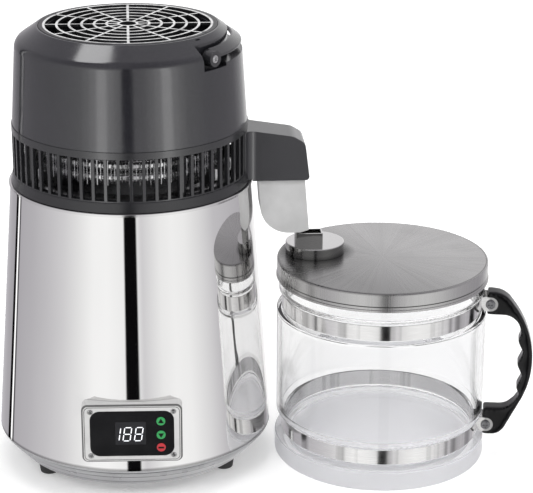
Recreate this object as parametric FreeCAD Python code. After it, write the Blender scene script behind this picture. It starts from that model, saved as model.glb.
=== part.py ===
import FreeCAD, Part
import math
import os

# Countertop glass water distiller with its glass carafe.
# Millimetres. +Z is up, -Y is the front with the control panel, +X is the spout side.
# The origin is on the distiller's axis, on the table that its feet stand on.

# ---------------------------------------------------------------- driving dimensions

# Heights above the table
FOOT_H = 10.0
BASE_RING_H = 19.8
HEATER_SPACE_H = 46.2
CASING_H = 212.2
BAND_H = 8.0
VENT_H = 40.6
COVER_H = 67.4
SHOULDER_H = 12.5

# Radii of the distiller, outside
BASE_R = 115.0
CASING_TOP_R = 98.8
BAND_INSET = 0.7
BAND_TAPER = 1.7
COVER_INSET = 0.7
COVER_TAPER = 4.3
SHOULDER_W = 17.6
SHOULDER_ROUND = 9.0
GRILLE_MARGIN = 1.8

# Walls, gaps and fasteners
SHEET = 0.8
COVER_WALL = 2.5
SPOUT_WALL = 2.0
NOZZLE_WALL = 1.8
SEAT_GAP = 0.3
FIT_GAP = 0.1
RUN_GAP = 0.05
SCREW_R = 1.6
SCREW_HEAD_R = 2.9
SCREW_HEAD_H = 2.0
SCREW_HEAD_ROUND = 0.6
SCREW_END_GAP = 1.0
DRIVE_HALF_L = 1.65
DRIVE_HALF_W = 0.3
EDGE_R = 1.0
FINE_EDGE_R = 0.5
TOLERANCE = 1e-6

# Base ring, base plate and feet
RING_FLANGE_W = 22.5
RING_FLANGE_T = 2.0
RING_TAPER_INSET = 16.5
RING_BELLY_INSET = 4.0
RING_BELLY_DROP = 6.3
RING_STEP_DROP = 2.6
RING_SHOULDER_H = 2.0
RING_LIP_H = 8.0
RING_WALL = 2.0
RING_FOOT_ROUND = 4.0
RING_BELLY_ROUND = 6.0
CASING_OVERHANG = 0.6
LIP_CLEARANCE = 1.3
BASE_PLATE_INSET = 4.5
BASE_PLATE_T = 1.2
AIR_SLOT_COUNT = 12
AIR_SLOT_INSET = 14.0
AIR_SLOT_W = 4.0
AIR_SLOT_L = 24.0
FOOT_FRONT_AZ = 33.0
FOOT_INSET = 11.3
FOOT_TOP_R = 9.0
FOOT_LOW_R = 7.5
FOOT_LOW_ROUND = 1.2
FOOT_SCREW_R = 2.0
FOOT_SCREW_HEAD_R = 4.0
FOOT_SCREW_HEAD_H = 3.0
FOOT_SCREW_SINK = 4.0
FOOT_SCREW_REACH = 3.0

# Boiling tank
TANK_NECK_GAP = 2.0
TANK_LOW_INSET = 25.5
TANK_CORNER_R = 14.0
TANK_RIM_T = 1.0
TANK_BEAD_H = 2.2
TANK_BEAD_T = 0.8
TANK_BEAD_ROUND = 0.6
CASING_LIP_W = 4.8

# Heater under the tank
HEATER_R = 60.0
HEATER_T = 6.0
ELEMENT_RING_R = 46.0
ELEMENT_TUBE_R = 4.2
ELEMENT_ARC = 330.0
ELEMENT_LEG = 13.0
ELEMENT_BEND_R = 6.0
CLAMP_LENGTH = 112.0
CLAMP_W = 14.0
CLAMP_T = 2.5
STUD_R = 3.0
NUT_T = 4.0
NUT_FLATS_R = 5.0
THERMOSTAT_R = 8.0
THERMOSTAT_H = 9.0
THERMOSTAT_TO_FUSE = 2.0
THERMOSTAT_CAP_R = 6.0
THERMOSTAT_CAP_H = 3.0
FUSE_R = 2.5
FUSE_LENGTH = 18.0
FUSE_LEAD = 6.0
FUSE_LEAD_R = 0.6
FUSE_TO_ELEMENT = 2.8

# Control board on the base plate
BOARD_W = 90.0
BOARD_D = 60.0
BOARD_T = 1.6
STANDOFF_H = 10.0
STANDOFF_R = 3.0
STANDOFF_INSET = 5.0
TRANSFORMER = (32.0, 26.0, 20.0)
TRANSFORMER_AT = (-22.0, 8.0)
RELAY = (16.0, 19.0, 15.0)
RELAY_AT = (18.0, 12.0)
CAPACITOR_R = 6.0
CAPACITOR_H = 17.0
CAPACITOR_AT = (26.0, -14.0)
HEAT_SINK = (24.0, 4.0, 18.0)
HEAT_SINK_AT = (-18.0, -20.0)

# Control panel on the front
PANEL_TURN = -1.65
PANEL_RISE = 34.4
PANEL_W = 80.5
PANEL_H = 50.0
PANEL_PROUD = 2.0
PANEL_CORNER_R = 5.0
PANEL_BEVEL = 1.3
PANEL_BACK_GAP = 0.2
FACE_W = 67.2
FACE_H = 39.2
FACE_CORNER_R = 8.0
FACE_T = 2.0
FACE_SINK = 0.3
PANEL_WINDOW_W = 58.0
PANEL_WINDOW_H = 35.4
PANEL_SCREW_X = 33.05
PANEL_SCREW_Z = 19.0
PANEL_SCREW_R = 1.4
PANEL_SCREW_HEAD_R = 2.3
PANEL_SCREW_HEAD_T = 1.2
PANEL_SCREW_LENGTH = 14.0
DISPLAY_X = -1.2
DISPLAY_W = 24.4
DISPLAY_H = 20.0
DISPLAY_DEPTH = 8.5
DISPLAY_FLANGE = 2.0
DISPLAY_FLANGE_T = 1.5
KEY_BOARD_W = 56.0
KEY_BOARD_H = 31.0
KEY_BOARD_T = 1.2
BUTTON_X = 23.1
BUTTON_Z = {"up_button": 10.5, "down_button": -1.4, "power_button": -12.4}
BUTTON_R = 3.6
BUTTON_PROUD = 0.8
BUTTON_TRAVEL = 0.8
BUTTON_FLANGE_R = 4.3
BUTTON_FLANGE_T = 1.0
BUTTON_STEM_R = 1.5
KEY_SWITCH_W = 6.0
KEY_SWITCH_H = 3.4

# Sockets on the back
INLET_RISE = 28.2
INLET_W = 50.0
INLET_H = 28.0
INLET_PROUD = 4.0
INLET_CORNER_R = 3.0
INLET_BODY_W = 27.0
INLET_BODY_H = 19.5
INLET_DEPTH = 26.0
INLET_CAVITY_W = 24.2
INLET_CAVITY_H = 16.4
INLET_CAVITY_DEPTH = 17.0
INLET_CAVITY_CORNER_R = 2.0
INLET_SCREW_X = 20.0
INLET_SCREW_LENGTH = 14.0
INLET_PIN = (2.0, 4.0)
INLET_PIN_LENGTH = 15.0
INLET_PIN_X = 7.0
INLET_PIN_Z = 2.0
LEAD_SOCKET_R = 9.0
LEAD_BARREL_R = 6.6
LEAD_CAVITY_R = 5.0
LEAD_PROUD = 3.0
LEAD_DEPTH = 14.0
LEAD_CAVITY_DEPTH = 9.0
LEAD_PIN_R = 0.9
LEAD_PIN_X = 2.4
LEAD_PIN_LENGTH = 7.0
FAN_OUTLET_RISE = 74.2
FAN_INLET_RISE = 13.1

# Dome band, vent ring and steam pan
BAND_LEDGE_W = 6.8
BAND_LEDGE_T = 2.4
BAND_LEDGE_LOW = 2.7
BAND_WALL = 1.7
BAND_ROOT_WALL = 0.8
BAND_EDGE_R = 0.8
GASKET_W = 3.5
GASKET_INSET = 2.7
VENT_RING_W = 6.0
VENT_RING_INSET = 0.1
VENT_LIP_H = 5.8
VENT_FOOT_H = 1.0
VENT_SPIGOT_H = 4.0
VENT_SPIGOT_T = 2.0
SPOUT_SLATS = 5
SLAT_COUNT = 60
SLAT_W = 2.5
SLAT_DEPTH = 3.0
PILLAR_COUNT = 4
PILLAR_FIRST_AZ = -63.0
PILLAR_INSET = 3.2
PILLAR_R = 3.5
DOME_SCREW_REACH = 12.0
SCREW_BOSS_R = 4.5
SCREW_BOSS_H = 24.0
WEB_HALF_T = 1.0
PAN_RIM_INSET = 0.5
PAN_RIM_H = 4.5
PAN_FLAT_W = 14.9
PAN_NECK_FOOT_R = 10.0
PAN_RISE = 7.0
PAN_NECK_H = 7.0

# Condenser
COIL_INSET = 7.4
COIL_TUBE_R = 4.0
COIL_TUBE_WALL = 0.8
COIL_TOP_DROP = 16.4
COIL_PITCH = 9.6
COIL_FEED_BEND_R = 10.0
COIL_JOIN_R = 16.0
COIL_UPPER_FIRST_AZ = 62.0
COIL_STEP_AZ = 17.0
COIL_STEP_SWEEP = 30.0
COIL_STEP_LEAD = 0.55
COIL_STEP_BEND_R = 18.0
COIL_EXIT_AZ = -13.0
COIL_END_INSET = 6.0
COIL_DROP_BEND_R = 12.0
COIL_END_DROP = 1.5
FIN_PITCH_AZ = 6.0
FIN_T = 0.6
FIN_IN = 5.4
FIN_OUT = 5.6
FIN_MARGIN = 5.4
BRACKET_COUNT = 3
BRACKET_FIRST_FIN = 4
BRACKET_T = 3.0
BRACKET_W = 9.0
BRACKET_FOOT_W = 8.0

# Fan
FAN_INSET = 4.0
FAN_HUB_R = 19.0
FAN_HUB_WALL = 2.0
FAN_CORE_R = 6.0
FAN_TOP_GAP = 23.8
FAN_H = 22.0
BLADE_COUNT = 7
BLADE_T = 1.8
BLADE_ANGLE = 32.0
MOTOR_R = 22.0
FAN_UNDER_GAP = 5.0
MOTOR_OVER_COIL = 13.0
MOTOR_ROUND = 3.0
MOTOR_SHAFT_R = 2.5
MOTOR_SCREW_CIRCLE_R = 15.0
MOTOR_SCREW_COUNT = 3
MOTOR_SCREW_REACH = 7.0
FAN_BRACKET_T = 3.5
FAN_BRACKET_HUB_R = 27.0
FAN_BRACKET_HOLE_R = 7.0
FAN_ARM_COUNT = 4
FAN_ARM_FIRST_AZ = 45.0
FAN_ARM_W = 9.0
FAN_BOSS_INSET = 5.9
FAN_BOSS_R = 4.5
FAN_BOSS_H = 24.0
FAN_SCREW_REACH = 9.0

# Grille over the fan
GRILLE_T = 3.0
GRILLE_RING_W = 5.5
GRILLE_PROUD = 0.4
GRILLE_EDGE_R = 0.8
GRILLE_BAR_W = 2.0
GRILLE_BAR_T = 2.2
GRILLE_BAR_DROP = 0.3
GRILLE_RING_COUNT = 5
GRILLE_LAST_GAP = 4.8
GRILLE_FIRST_RING_R = 17.2
GRILLE_HUB_R = 8.6
GRILLE_HUB_HOLE_R = 6.6
SPOKE_COUNT = 12
GRILLE_SEAT_W = 5.8
GRILLE_SCREW_AZ = -30.0
GRILLE_SCREW_R = 1.0
GRILLE_SCREW_HEAD_R = 1.8
GRILLE_SCREW_HEAD_H = 1.4
GRILLE_SCREW_LENGTH = 5.0

# Carry handle that lies round the shoulder of the dome
PIVOT_AZ = -42.0
PIVOT_DROP = 15.4
HANDLE_GAP = 2.5
RECESS_FLOOR_DROP = 4.9
PIVOT_NOTCH_DROP = 7.6
RECESS_END_AZ = 8.5
PIVOT_NOTCH_AZ = 8.5
HANDLE_W = 8.9
HANDLE_IN_RISE = 8.4
HANDLE_OUT_RISE = 2.4
HANDLE_IN_T = 4.2
HANDLE_OUT_T = 2.8
HANDLE_EDGE_R = 1.2
HANDLE_END_AZ = 5.5
HANDLE_BOSS_R = 6.4
HANDLE_SCREW_R = 2.0
HANDLE_SCREW_HEAD_R = 3.3
HANDLE_SCREW_HEAD_H = 1.6
HANDLE_SOCKET_R = 1.65
HANDLE_SLEEVE_T = 1.2
PIVOT_BLOCK_R = 5.0
PIVOT_BLOCK_DEPTH = 8.0
SLOT_AZ = -44.5
SLOT_INSET = 2.0
SLOT_LENGTH = 5.0
SLOT_W = 1.4
SLOT_DEPTH = 1.8

# Spout housing
SPOUT_HALF_W = 17.0
SPOUT_SHOULDER_BACK = 13.5
SPOUT_SHOULDER_DROP = 6.5
SPOUT_BROW_BACK = 3.9
SPOUT_BROW_DROP = 5.8
SPOUT_TIP_TO_CARAFE = 61.6
SPOUT_FLARE_R = 9.0
SPOUT_CORNER_R = 3.0
SPOUT_BROW_R = 7.0
SPOUT_SHOULDER_R = 14.0
SPOUT_ROOT_DEPTH = 10.0

# Filter nozzle under the spout
NOZZLE_ROOT_GAP = 5.0
NOZZLE_TIP_LEAN = 3.9
NOZZLE_FOOT_LEAN = 3.8
NOZZLE_TIP_INSET = 0.2
NOZZLE_H = 46.5
NOZZLE_TIP_RISE = 2.2
NOZZLE_HALF_W = 14.0
NOZZLE_SWEEP_SHARE = 0.62
NOZZLE_TIP_RUN = 7.0
NOZZLE_FLANGE = 1.0
NOZZLE_FLANGE_T = 1.6
NOZZLE_SLOT_BACK = 17.3
NOZZLE_SLOT_LENGTH = 12.0
NOZZLE_SLOT_HALF_W = 8.0
SACHET_GAP = 1.2
SACHET_DROP = 6.0

# Carafe
CARAFE_BESIDE = 3.7
CARAFE_Y = -16.2
JAR_FOOT_PROUD = 1.4
JAR_FOOT_H = 17.2
JAR_R = 88.0
JAR_NECK_INSET = 1.8
CARAFE_UNDER = 4.3
JAR_FLOOR_Z = 14.0
JAR_BASE_DISH = 1.5
JAR_BASE_RING_W = 17.4
JAR_WALL = 4.0
JAR_INNER_CORNER_R = 10.0
JAR_GROOVE_MARGIN = 1.2
JAR_BASE_STEP = 3.0
JAR_FOOT_EDGE_R = 3.0
JAR_EDGE_R = 1.5
JAR_GROOVE_EDGE_R = 0.4
JAR_BEND_R = 3.0
JAR_GROOVE_BEND_R = 2.0
STRAP_INSET = 3.9
STRAP_T = 0.8
STRAP_H = 12.4
JAR_NECK_H = 25.8
LOWER_STRAP_RISE = 5.1
STRAP_LUG_L = 13.4
STRAP_LUG_ROOT = 3.2
HANDLE_AZ = -10.0
GRIP_W = 16.0
GRIP_GAP = 0.6
GRIP_L = 40.2
GRIP_DEPTH = 8.0
GRIP_BEYOND_STRAP = 3.8
GRIP_ARM_ROOT = 8.4
GRIP_TOP_RUN = 25.2
GRIP_TOP_SHARE = 0.26
GRIP_TOP_CORNER_R = 19.0
GRIP_LOW_RUN = 24.6
GRIP_LOW_SHARE = 0.38
GRIP_LOW_CORNER_R = 13.0
GRIP_BACK_SHARE = 0.62
GRIP_THROAT_RUN = 5.0
GRIP_THROAT_SHARE = 0.2
GRIP_THROAT_R = 15.0
GRIP_FOOT_RUN = 13.0
GRIP_FOOT_R = 12.0
GRIP_TOOTH = 4.9
GRIP_TOOTH_R = 1.6
GRIP_VALLEY_R = 3.0
GRIP_TEETH = 3
GRIP_FIRST_TOOTH_SHARE = 0.27
GRIP_TOOTH_PITCH_SHARE = 0.25
BOLT_R = 2.0
BOLT_BEYOND_STRAP = 7.1
BOLT_HEAD_R = 4.0
BOLT_HEAD_H = 2.2
BOLT_NUT_T = 3.2
BOLT_END = 1.0

# Carafe lid and its inlet cap
LID_OVERHANG = 1.8
LID_RISE = 3.6
LID_SKIRT_H = 13.8
LID_BEAD_PROUD = 0.7
LID_BEAD_H = 2.2
LID_BEAD_ROUND = 0.6
LID_EDGE_R = 1.2
SEAL_W = 5.0
SEAL_INSET = 0.6
INLET_FROM_EDGE = 30.1
INLET_AZ = 162.6
CAP_R = 24.6
CAP_H = 9.4
CAP_EDGE_R = 0.8
CAP_PLUG_R = 17.9
CAP_RUN_GAP = 0.08
CAP_RING_R = 20.8
CAP_RING_T = 2.0
COLLAR_W = 23.0
COLLAR_D = 13.0
COLLAR_H = 8.2
COLLAR_WALL = 1.2
COLLAR_SHIFT_X = -5.4

# ---------------------------------------------------------------- derived places

V = FreeCAD.Vector
UP = V(0, 0, 1)
ORIGIN = V(0, 0, 0)

# Heights of the base, the casing and the dome
CASING_LOW_Z = FOOT_H + BASE_RING_H
RING_BELLY_Z = CASING_LOW_Z - RING_BELLY_DROP
RING_STEP_Z = CASING_LOW_Z - RING_STEP_DROP
BASE_PLATE_LOW_Z = FOOT_H + RING_FLANGE_T
BASE_PLATE_TOP_Z = BASE_PLATE_LOW_Z + BASE_PLATE_T
TANK_LOW_Z = CASING_LOW_Z + HEATER_SPACE_H
CASING_TOP_Z = CASING_LOW_Z + CASING_H
TANK_RIM_TOP_Z = CASING_TOP_Z + TANK_RIM_T
BAND_LOW_Z = TANK_RIM_TOP_Z + SEAT_GAP
BAND_TOP_Z = BAND_LOW_Z + BAND_H
LEDGE_LOW_Z = BAND_LOW_Z + BAND_LEDGE_LOW
LEDGE_TOP_Z = LEDGE_LOW_Z + BAND_LEDGE_T
PAN_TOP_Z = LEDGE_TOP_Z + SHEET
VENT_TOP_Z = BAND_TOP_Z + VENT_H
VENT_LIP_Z = VENT_TOP_Z - VENT_LIP_H
SHOULDER_LOW_Z = VENT_TOP_Z + COVER_H
DOME_TOP_Z = SHOULDER_LOW_Z + SHOULDER_H

# Radii of the base, the casing and the dome
RING_TAPER_R = BASE_R - RING_TAPER_INSET
RING_BELLY_R = BASE_R - RING_BELLY_INSET
RING_FLANGE_R = RING_TAPER_R - RING_FLANGE_W
BASE_PLATE_R = RING_TAPER_R - BASE_PLATE_INSET
AIR_SLOT_CIRCLE_R = RING_FLANGE_R - AIR_SLOT_INSET
FOOT_CIRCLE_R = RING_TAPER_R - FOOT_INSET
TANK_TOP_R = CASING_TOP_R - CASING_LIP_W - TANK_NECK_GAP
TANK_LOW_R = BASE_R - TANK_LOW_INSET
BAND_LOW_R = CASING_TOP_R - BAND_INSET
BAND_TOP_R = BAND_LOW_R - BAND_TAPER
GASKET_OUT_R = BAND_LOW_R - GASKET_INSET
GASKET_IN_R = GASKET_OUT_R - GASKET_W
VENT_RING_OUT_R = BAND_TOP_R - VENT_RING_INSET
VENT_RING_IN_R = VENT_RING_OUT_R - VENT_RING_W
PILLAR_CIRCLE_R = VENT_RING_IN_R - PILLAR_INSET
BAND_LEDGE_R = VENT_RING_IN_R - BAND_LEDGE_W
PAN_RIM_R = BAND_LEDGE_R - PAN_RIM_INSET
PAN_SLOPE_R = PAN_RIM_R - PAN_FLAT_W
COVER_LOW_R = BAND_TOP_R - COVER_INSET
SHOULDER_R = COVER_LOW_R - COVER_TAPER
SHOULDER_TOP_R = SHOULDER_R - SHOULDER_W
GRILLE_R = SHOULDER_TOP_R - GRILLE_MARGIN
SLOT_R = SHOULDER_TOP_R + SLOT_INSET

# Heater, control panel and sockets
HEATER_LOW_Z = TANK_LOW_Z - HEATER_T
ELEMENT_Z = HEATER_LOW_Z - ELEMENT_TUBE_R - FIT_GAP
CLAMP_TOP_Z = ELEMENT_Z - ELEMENT_TUBE_R - FIT_GAP
FUSE_X = ELEMENT_RING_R - ELEMENT_TUBE_R - FUSE_TO_ELEMENT - FUSE_R
THERMOSTAT_X = FUSE_X - FUSE_R - THERMOSTAT_TO_FUSE - THERMOSTAT_R
PANEL_Z = CASING_LOW_Z + PANEL_RISE
PANEL_Y = BASE_R + PANEL_PROUD
FACE_FRONT_Y = -PANEL_Y + FACE_SINK
FACE_BACK_Y = FACE_FRONT_Y + FACE_T
DISPLAY_BACK_Y = FACE_FRONT_Y + DISPLAY_DEPTH
INLET_Z = CASING_LOW_Z + INLET_RISE
FAN_OUTLET_Z = CASING_LOW_Z + FAN_OUTLET_RISE
FAN_INLET_Z = VENT_TOP_Z + FAN_INLET_RISE

# Fan, grille and carry handle
GRILLE_SEAT_Z = DOME_TOP_Z - GRILLE_T
GRILLE_RING_PITCH = (GRILLE_R - GRILLE_FIRST_RING_R - GRILLE_LAST_GAP) / GRILLE_RING_COUNT
FAN_R = GRILLE_R - FAN_INSET
FAN_LOW_Z = GRILLE_SEAT_Z - FAN_TOP_GAP - FAN_H
MOTOR_TOP_Z = FAN_LOW_Z - FAN_UNDER_GAP - FAN_BRACKET_T
FAN_BRACKET_TOP_Z = MOTOR_TOP_Z + FAN_BRACKET_T
FAN_BOSS_CIRCLE_R = SHOULDER_R - FAN_BOSS_INSET
HANDLE_OUT_R = SHOULDER_R - SEAT_GAP
HANDLE_IN_R = HANDLE_OUT_R - HANDLE_W
RECESS_R = HANDLE_IN_R - HANDLE_GAP
PIVOT_Z = DOME_TOP_Z - PIVOT_DROP
RECESS_FLOOR_Z = PIVOT_Z - RECESS_FLOOR_DROP
PIVOT_NOTCH_Z = PIVOT_Z - PIVOT_NOTCH_DROP
HANDLE_IN_Z = PIVOT_Z + HANDLE_IN_RISE
HANDLE_OUT_Z = PIVOT_Z + HANDLE_OUT_RISE

# Spout, nozzle and condenser, from the carafe beside the base
JAR_FOOT_R = JAR_R + JAR_FOOT_PROUD
CARAFE_X = BASE_R + CARAFE_BESIDE + JAR_FOOT_R
CARAFE_AXIS = V(CARAFE_X, CARAFE_Y, 0)
SPOUT_LOW_Z = CASING_TOP_Z
SPOUT_ROOT_TOP_Z = VENT_LIP_Z - SEAT_GAP
SPOUT_SHOULDER_Z = SPOUT_ROOT_TOP_Z - SPOUT_SHOULDER_DROP
SPOUT_BROW_Z = SPOUT_SHOULDER_Z - SPOUT_BROW_DROP
SPOUT_TIP_X = CARAFE_X - SPOUT_TIP_TO_CARAFE
SPOUT_SHOULDER_X = SPOUT_TIP_X - SPOUT_SHOULDER_BACK
SPOUT_BROW_X = SPOUT_TIP_X - SPOUT_BROW_BACK
NOZZLE_LOW_Z = SPOUT_LOW_Z - NOZZLE_H
NOZZLE_TIP_X = SPOUT_TIP_X - NOZZLE_TIP_INSET
NOZZLE_ROOT_X = CASING_TOP_R + NOZZLE_ROOT_GAP
NOZZLE_ROOT_END_X = NOZZLE_TIP_X - NOZZLE_TIP_LEAN
NOZZLE_FOOT_X = NOZZLE_ROOT_X + NOZZLE_FOOT_LEAN
NOZZLE_SWEEP_R = (NOZZLE_TIP_X - NOZZLE_FOOT_X) * NOZZLE_SWEEP_SHARE
NOZZLE_SLOT_X = NOZZLE_TIP_X - NOZZLE_SLOT_BACK
SACHET_TOP_Z = SPOUT_LOW_Z - SACHET_DROP
COIL_R = PAN_RIM_R - COIL_INSET
COIL_TOP_Z = VENT_TOP_Z - COIL_TOP_DROP
MOTOR_LOW_Z = COIL_TOP_Z + COIL_TUBE_R + MOTOR_OVER_COIL
COIL_DROP_X = NOZZLE_SLOT_X - COIL_END_INSET
COIL_DROP_Z = SPOUT_LOW_Z - COIL_END_DROP

# Carafe, its lid and its inlet cap, below the nozzle
LID_TOP_Z = NOZZLE_LOW_Z - CARAFE_UNDER - COLLAR_H - CAP_H
CAP_TOP_Z = LID_TOP_Z + CAP_H
JAR_TOP_Z = LID_TOP_Z - LID_RISE
JAR_NECK_R = JAR_R - JAR_NECK_INSET
JAR_BASE_RING_R = JAR_FOOT_R - JAR_BASE_RING_W
STRAP_R = JAR_R - STRAP_INSET
STRAP_LUG_REACH = STRAP_R + STRAP_LUG_L
BOLT_RHO = STRAP_R + BOLT_BEYOND_STRAP
UPPER_STRAP_Z = JAR_TOP_Z - JAR_NECK_H - STRAP_H
LOWER_STRAP_Z = JAR_FOOT_H + LOWER_STRAP_RISE
GRIP_IN_R = JAR_R + GRIP_GAP
GRIP_REACH = JAR_R + GRIP_L
LID_R = JAR_NECK_R + LID_OVERHANG
LID_BEAD_R = LID_R + LID_BEAD_PROUD
LID_SKIRT_LOW_Z = LID_TOP_Z - LID_SKIRT_H
SEAL_OUT_R = JAR_NECK_R - SEAL_INSET
SEAL_IN_R = SEAL_OUT_R - SEAL_W
INLET_RHO = LID_R - INLET_FROM_EDGE
INLET_X = CARAFE_X + INLET_RHO * math.cos(math.radians(INLET_AZ))
INLET_Y = CARAFE_Y + INLET_RHO * math.sin(math.radians(INLET_AZ))


# ---------------------------------------------------------------- drawing helpers

def rounded_wire(corners, to_space):
    """Closed wire through (u, v) or (u, v, radius) corners, each radius a tangent arc."""
    arrivals = []
    departures = []
    middles = []
    for index, corner in enumerate(corners):
        here = V(corner[0], corner[1], 0)
        radius = corner[2] if len(corner) > 2 else 0.0
        back = V(*corners[index - 1][:2], 0) - here
        ahead = V(*corners[(index + 1) % len(corners)][:2], 0) - here
        back.normalize()
        ahead.normalize()
        if radius <= 0:
            arrivals.append(here)
            departures.append(here)
            middles.append(None)
            continue
        half = back.getAngle(ahead) / 2
        cut = radius / math.tan(half)
        middle_way = back + ahead
        middle_way.normalize()
        arrivals.append(here + back * cut)
        departures.append(here + ahead * cut)
        middles.append(here + middle_way * (radius / math.sin(half) - radius))
    edges = []
    for index, arrival in enumerate(arrivals):
        start = departures[index - 1]
        if start.distanceToPoint(arrival) > TOLERANCE:
            edges.append(Part.makeLine(to_space(start), to_space(arrival)))
        if middles[index] is not None:
            points = (arrival, middles[index], departures[index])
            edges.append(Part.Arc(*[to_space(point) for point in points]).toShape())
    return Part.Wire(Part.__sortEdges__(edges))


def turned(corners, start=0.0, sweep=360.0):
    """Solid of revolution about the Z axis of (radius, z) corners."""
    wire = rounded_wire(corners, lambda p: V(p.x, 0, p.y))
    solid = Part.Face(wire).revolve(ORIGIN, UP, sweep)
    solid.rotate(ORIGIN, UP, start)
    return solid


def plate_y(corners, y_low, y_high):
    """Solid of an (x, z) outline between two Y planes."""
    wire = rounded_wire(corners, lambda p: V(p.x, y_low, p.y))
    return Part.Face(wire).extrude(V(0, y_high - y_low, 0))


def plate_z(corners, z_low, z_high):
    """Solid of an (x, y) outline between two Z planes."""
    wire = rounded_wire(corners, lambda p: V(p.x, p.y, z_low))
    return Part.Face(wire).extrude(V(0, 0, z_high - z_low))


def box(x_low, x_high, y_low, y_high, z_low, z_high):
    return Part.makeBox(x_high - x_low, y_high - y_low, z_high - z_low, V(x_low, y_low, z_low))


def block(centre, size, z_low):
    """Upright box of (x, y, z) size on a centre (x, y)."""
    return box(centre[0] - size[0] / 2, centre[0] + size[0] / 2,
               centre[1] - size[1] / 2, centre[1] + size[1] / 2,
               z_low, z_low + size[2])


def post(radius, z_low, z_high, x=0.0, y=0.0):
    return Part.makeCylinder(radius, z_high - z_low, V(x, y, z_low))


def ring(outer, inner, z_low, z_high):
    return post(outer, z_low, z_high).cut(post(inner, z_low, z_high))


def rod(radius, start, end):
    along = end - start
    return Part.makeCylinder(radius, along.Length, start, along)


def hexagon(flats_r, height):
    """Hexagonal prism on the Z axis, from z = 0 up."""
    corner_r = flats_r / math.cos(math.pi / 6)
    points = [polar(corner_r, 60 * index) for index in range(6)]
    return plate_z([(point.x, point.y) for point in points], 0, height)


def nut(flats_r, bore_r, thickness):
    return hexagon(flats_r, thickness).cut(post(bore_r, 0, thickness))


def rectangle(width, height, radius, x=0.0, z=0.0):
    half_w = width / 2
    half_h = height / 2
    return [(x - half_w, z - half_h, radius), (x + half_w, z - half_h, radius),
            (x + half_w, z + half_h, radius), (x - half_w, z + half_h, radius)]


def polar(radius, azimuth, z=0.0):
    angle = math.radians(azimuth)
    return V(radius * math.cos(angle), radius * math.sin(angle), z)


def turned_copy(shape, degrees, centre=ORIGIN, axis=UP):
    copy = shape.copy()
    copy.rotate(centre, axis, degrees)
    return copy


def moved_copy(shape, x, y, z):
    copy = shape.copy()
    copy.translate(V(x, y, z))
    return copy


def circle_of(shape, count, first=0.0):
    """Copies of a shape drawn on the +X side, spread evenly round the Z axis."""
    return [turned_copy(shape, first + 360 * index / count) for index in range(count)]


def fused(shapes):
    return shapes[0].fuse(shapes[1:]).removeSplitter()


def group(shapes):
    return Part.makeCompound(shapes)


def pan_head(head_r, head_h, shank_r, length):
    """Cross-recess screw along +Z: the head's top at z = head_h, the shank below z = 0."""
    head = turned([(0, 0), (head_r, 0), (head_r, head_h, head_h * SCREW_HEAD_ROUND), (0, head_h)])
    half_l = DRIVE_HALF_L * head_r / SCREW_HEAD_R
    half_w = DRIVE_HALF_W * head_r / SCREW_HEAD_R
    arms = [box(-half_l, half_l, -half_w, half_w, head_h / 2, head_h),
            box(-half_w, half_w, -half_l, half_l, head_h / 2, head_h)]
    return head.fuse(post(shank_r, -length, 0)).cut(arms).removeSplitter()


def laid(shape, point, direction):
    """A shape drawn along +Z, moved so that +Z points along a direction from a point."""
    copy = shape.copy()
    copy.Placement = FreeCAD.Placement(point, FreeCAD.Rotation(UP, direction))
    return copy


# ---------------------------------------------------------------- base

def casing_radius(z):
    share = (z - CASING_LOW_Z) / (CASING_TOP_Z - CASING_LOW_Z)
    return BASE_R + (CASING_TOP_R - BASE_R) * share


def casing_cone(grow):
    """Solid cone with the casing's outside surface, larger by a gap."""
    return turned([(0, 0), (casing_radius(0) + grow, 0),
                   (casing_radius(CASING_TOP_Z) + grow, CASING_TOP_Z), (0, CASING_TOP_Z)])


def on_panel(shape):
    return turned_copy(shape, PANEL_TURN)


def panel_screw_places():
    return [(side * PANEL_SCREW_X, PANEL_Z + level * PANEL_SCREW_Z)
            for side in (-1, 1) for level in (-1, 1)]


def outer_casing():
    lip_low_z = CASING_TOP_Z - SHEET
    wall = turned([(BASE_R, CASING_LOW_Z), (CASING_TOP_R, CASING_TOP_Z),
                   (CASING_TOP_R - CASING_LIP_W, CASING_TOP_Z),
                   (CASING_TOP_R - CASING_LIP_W, lip_low_z),
                   (casing_radius(lip_low_z) - SHEET, lip_low_z),
                   (BASE_R - SHEET, CASING_LOW_Z)])
    window = plate_y(rectangle(PANEL_WINDOW_W, PANEL_WINDOW_H, PANEL_BEVEL, 0, PANEL_Z), -BASE_R, 0)
    screw_holes = [rod(PANEL_SCREW_R + RUN_GAP, V(x, -BASE_R, z), V(x, 0, z))
                   for x, z in panel_screw_places()]
    inlet = plate_y(rectangle(INLET_BODY_W + 2 * FIT_GAP, INLET_BODY_H + 2 * FIT_GAP,
                              PANEL_BEVEL, 0, INLET_Z), 0, BASE_R)
    inlet_screw_holes = [rod(SCREW_R + RUN_GAP, V(side * INLET_SCREW_X, 0, INLET_Z),
                             V(side * INLET_SCREW_X, BASE_R, INLET_Z)) for side in (-1, 1)]
    fan_outlet_hole = rod(LEAD_BARREL_R + FIT_GAP, V(0, 0, FAN_OUTLET_Z), V(0, BASE_R, FAN_OUTLET_Z))
    front = [on_panel(cutter) for cutter in [window] + screw_holes]
    return wall.cut(front + [inlet, fan_outlet_hole] + inlet_screw_holes)


def foot_places():
    """Two feet at the front, one at the back."""
    return [polar(FOOT_CIRCLE_R, azimuth) for azimuth in (-FOOT_FRONT_AZ, 90, 180 + FOOT_FRONT_AZ)]


def foot_screw_holes(z_low, z_high):
    return [post(FOOT_SCREW_R + RUN_GAP, z_low, z_high, place.x, place.y) for place in foot_places()]


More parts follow.
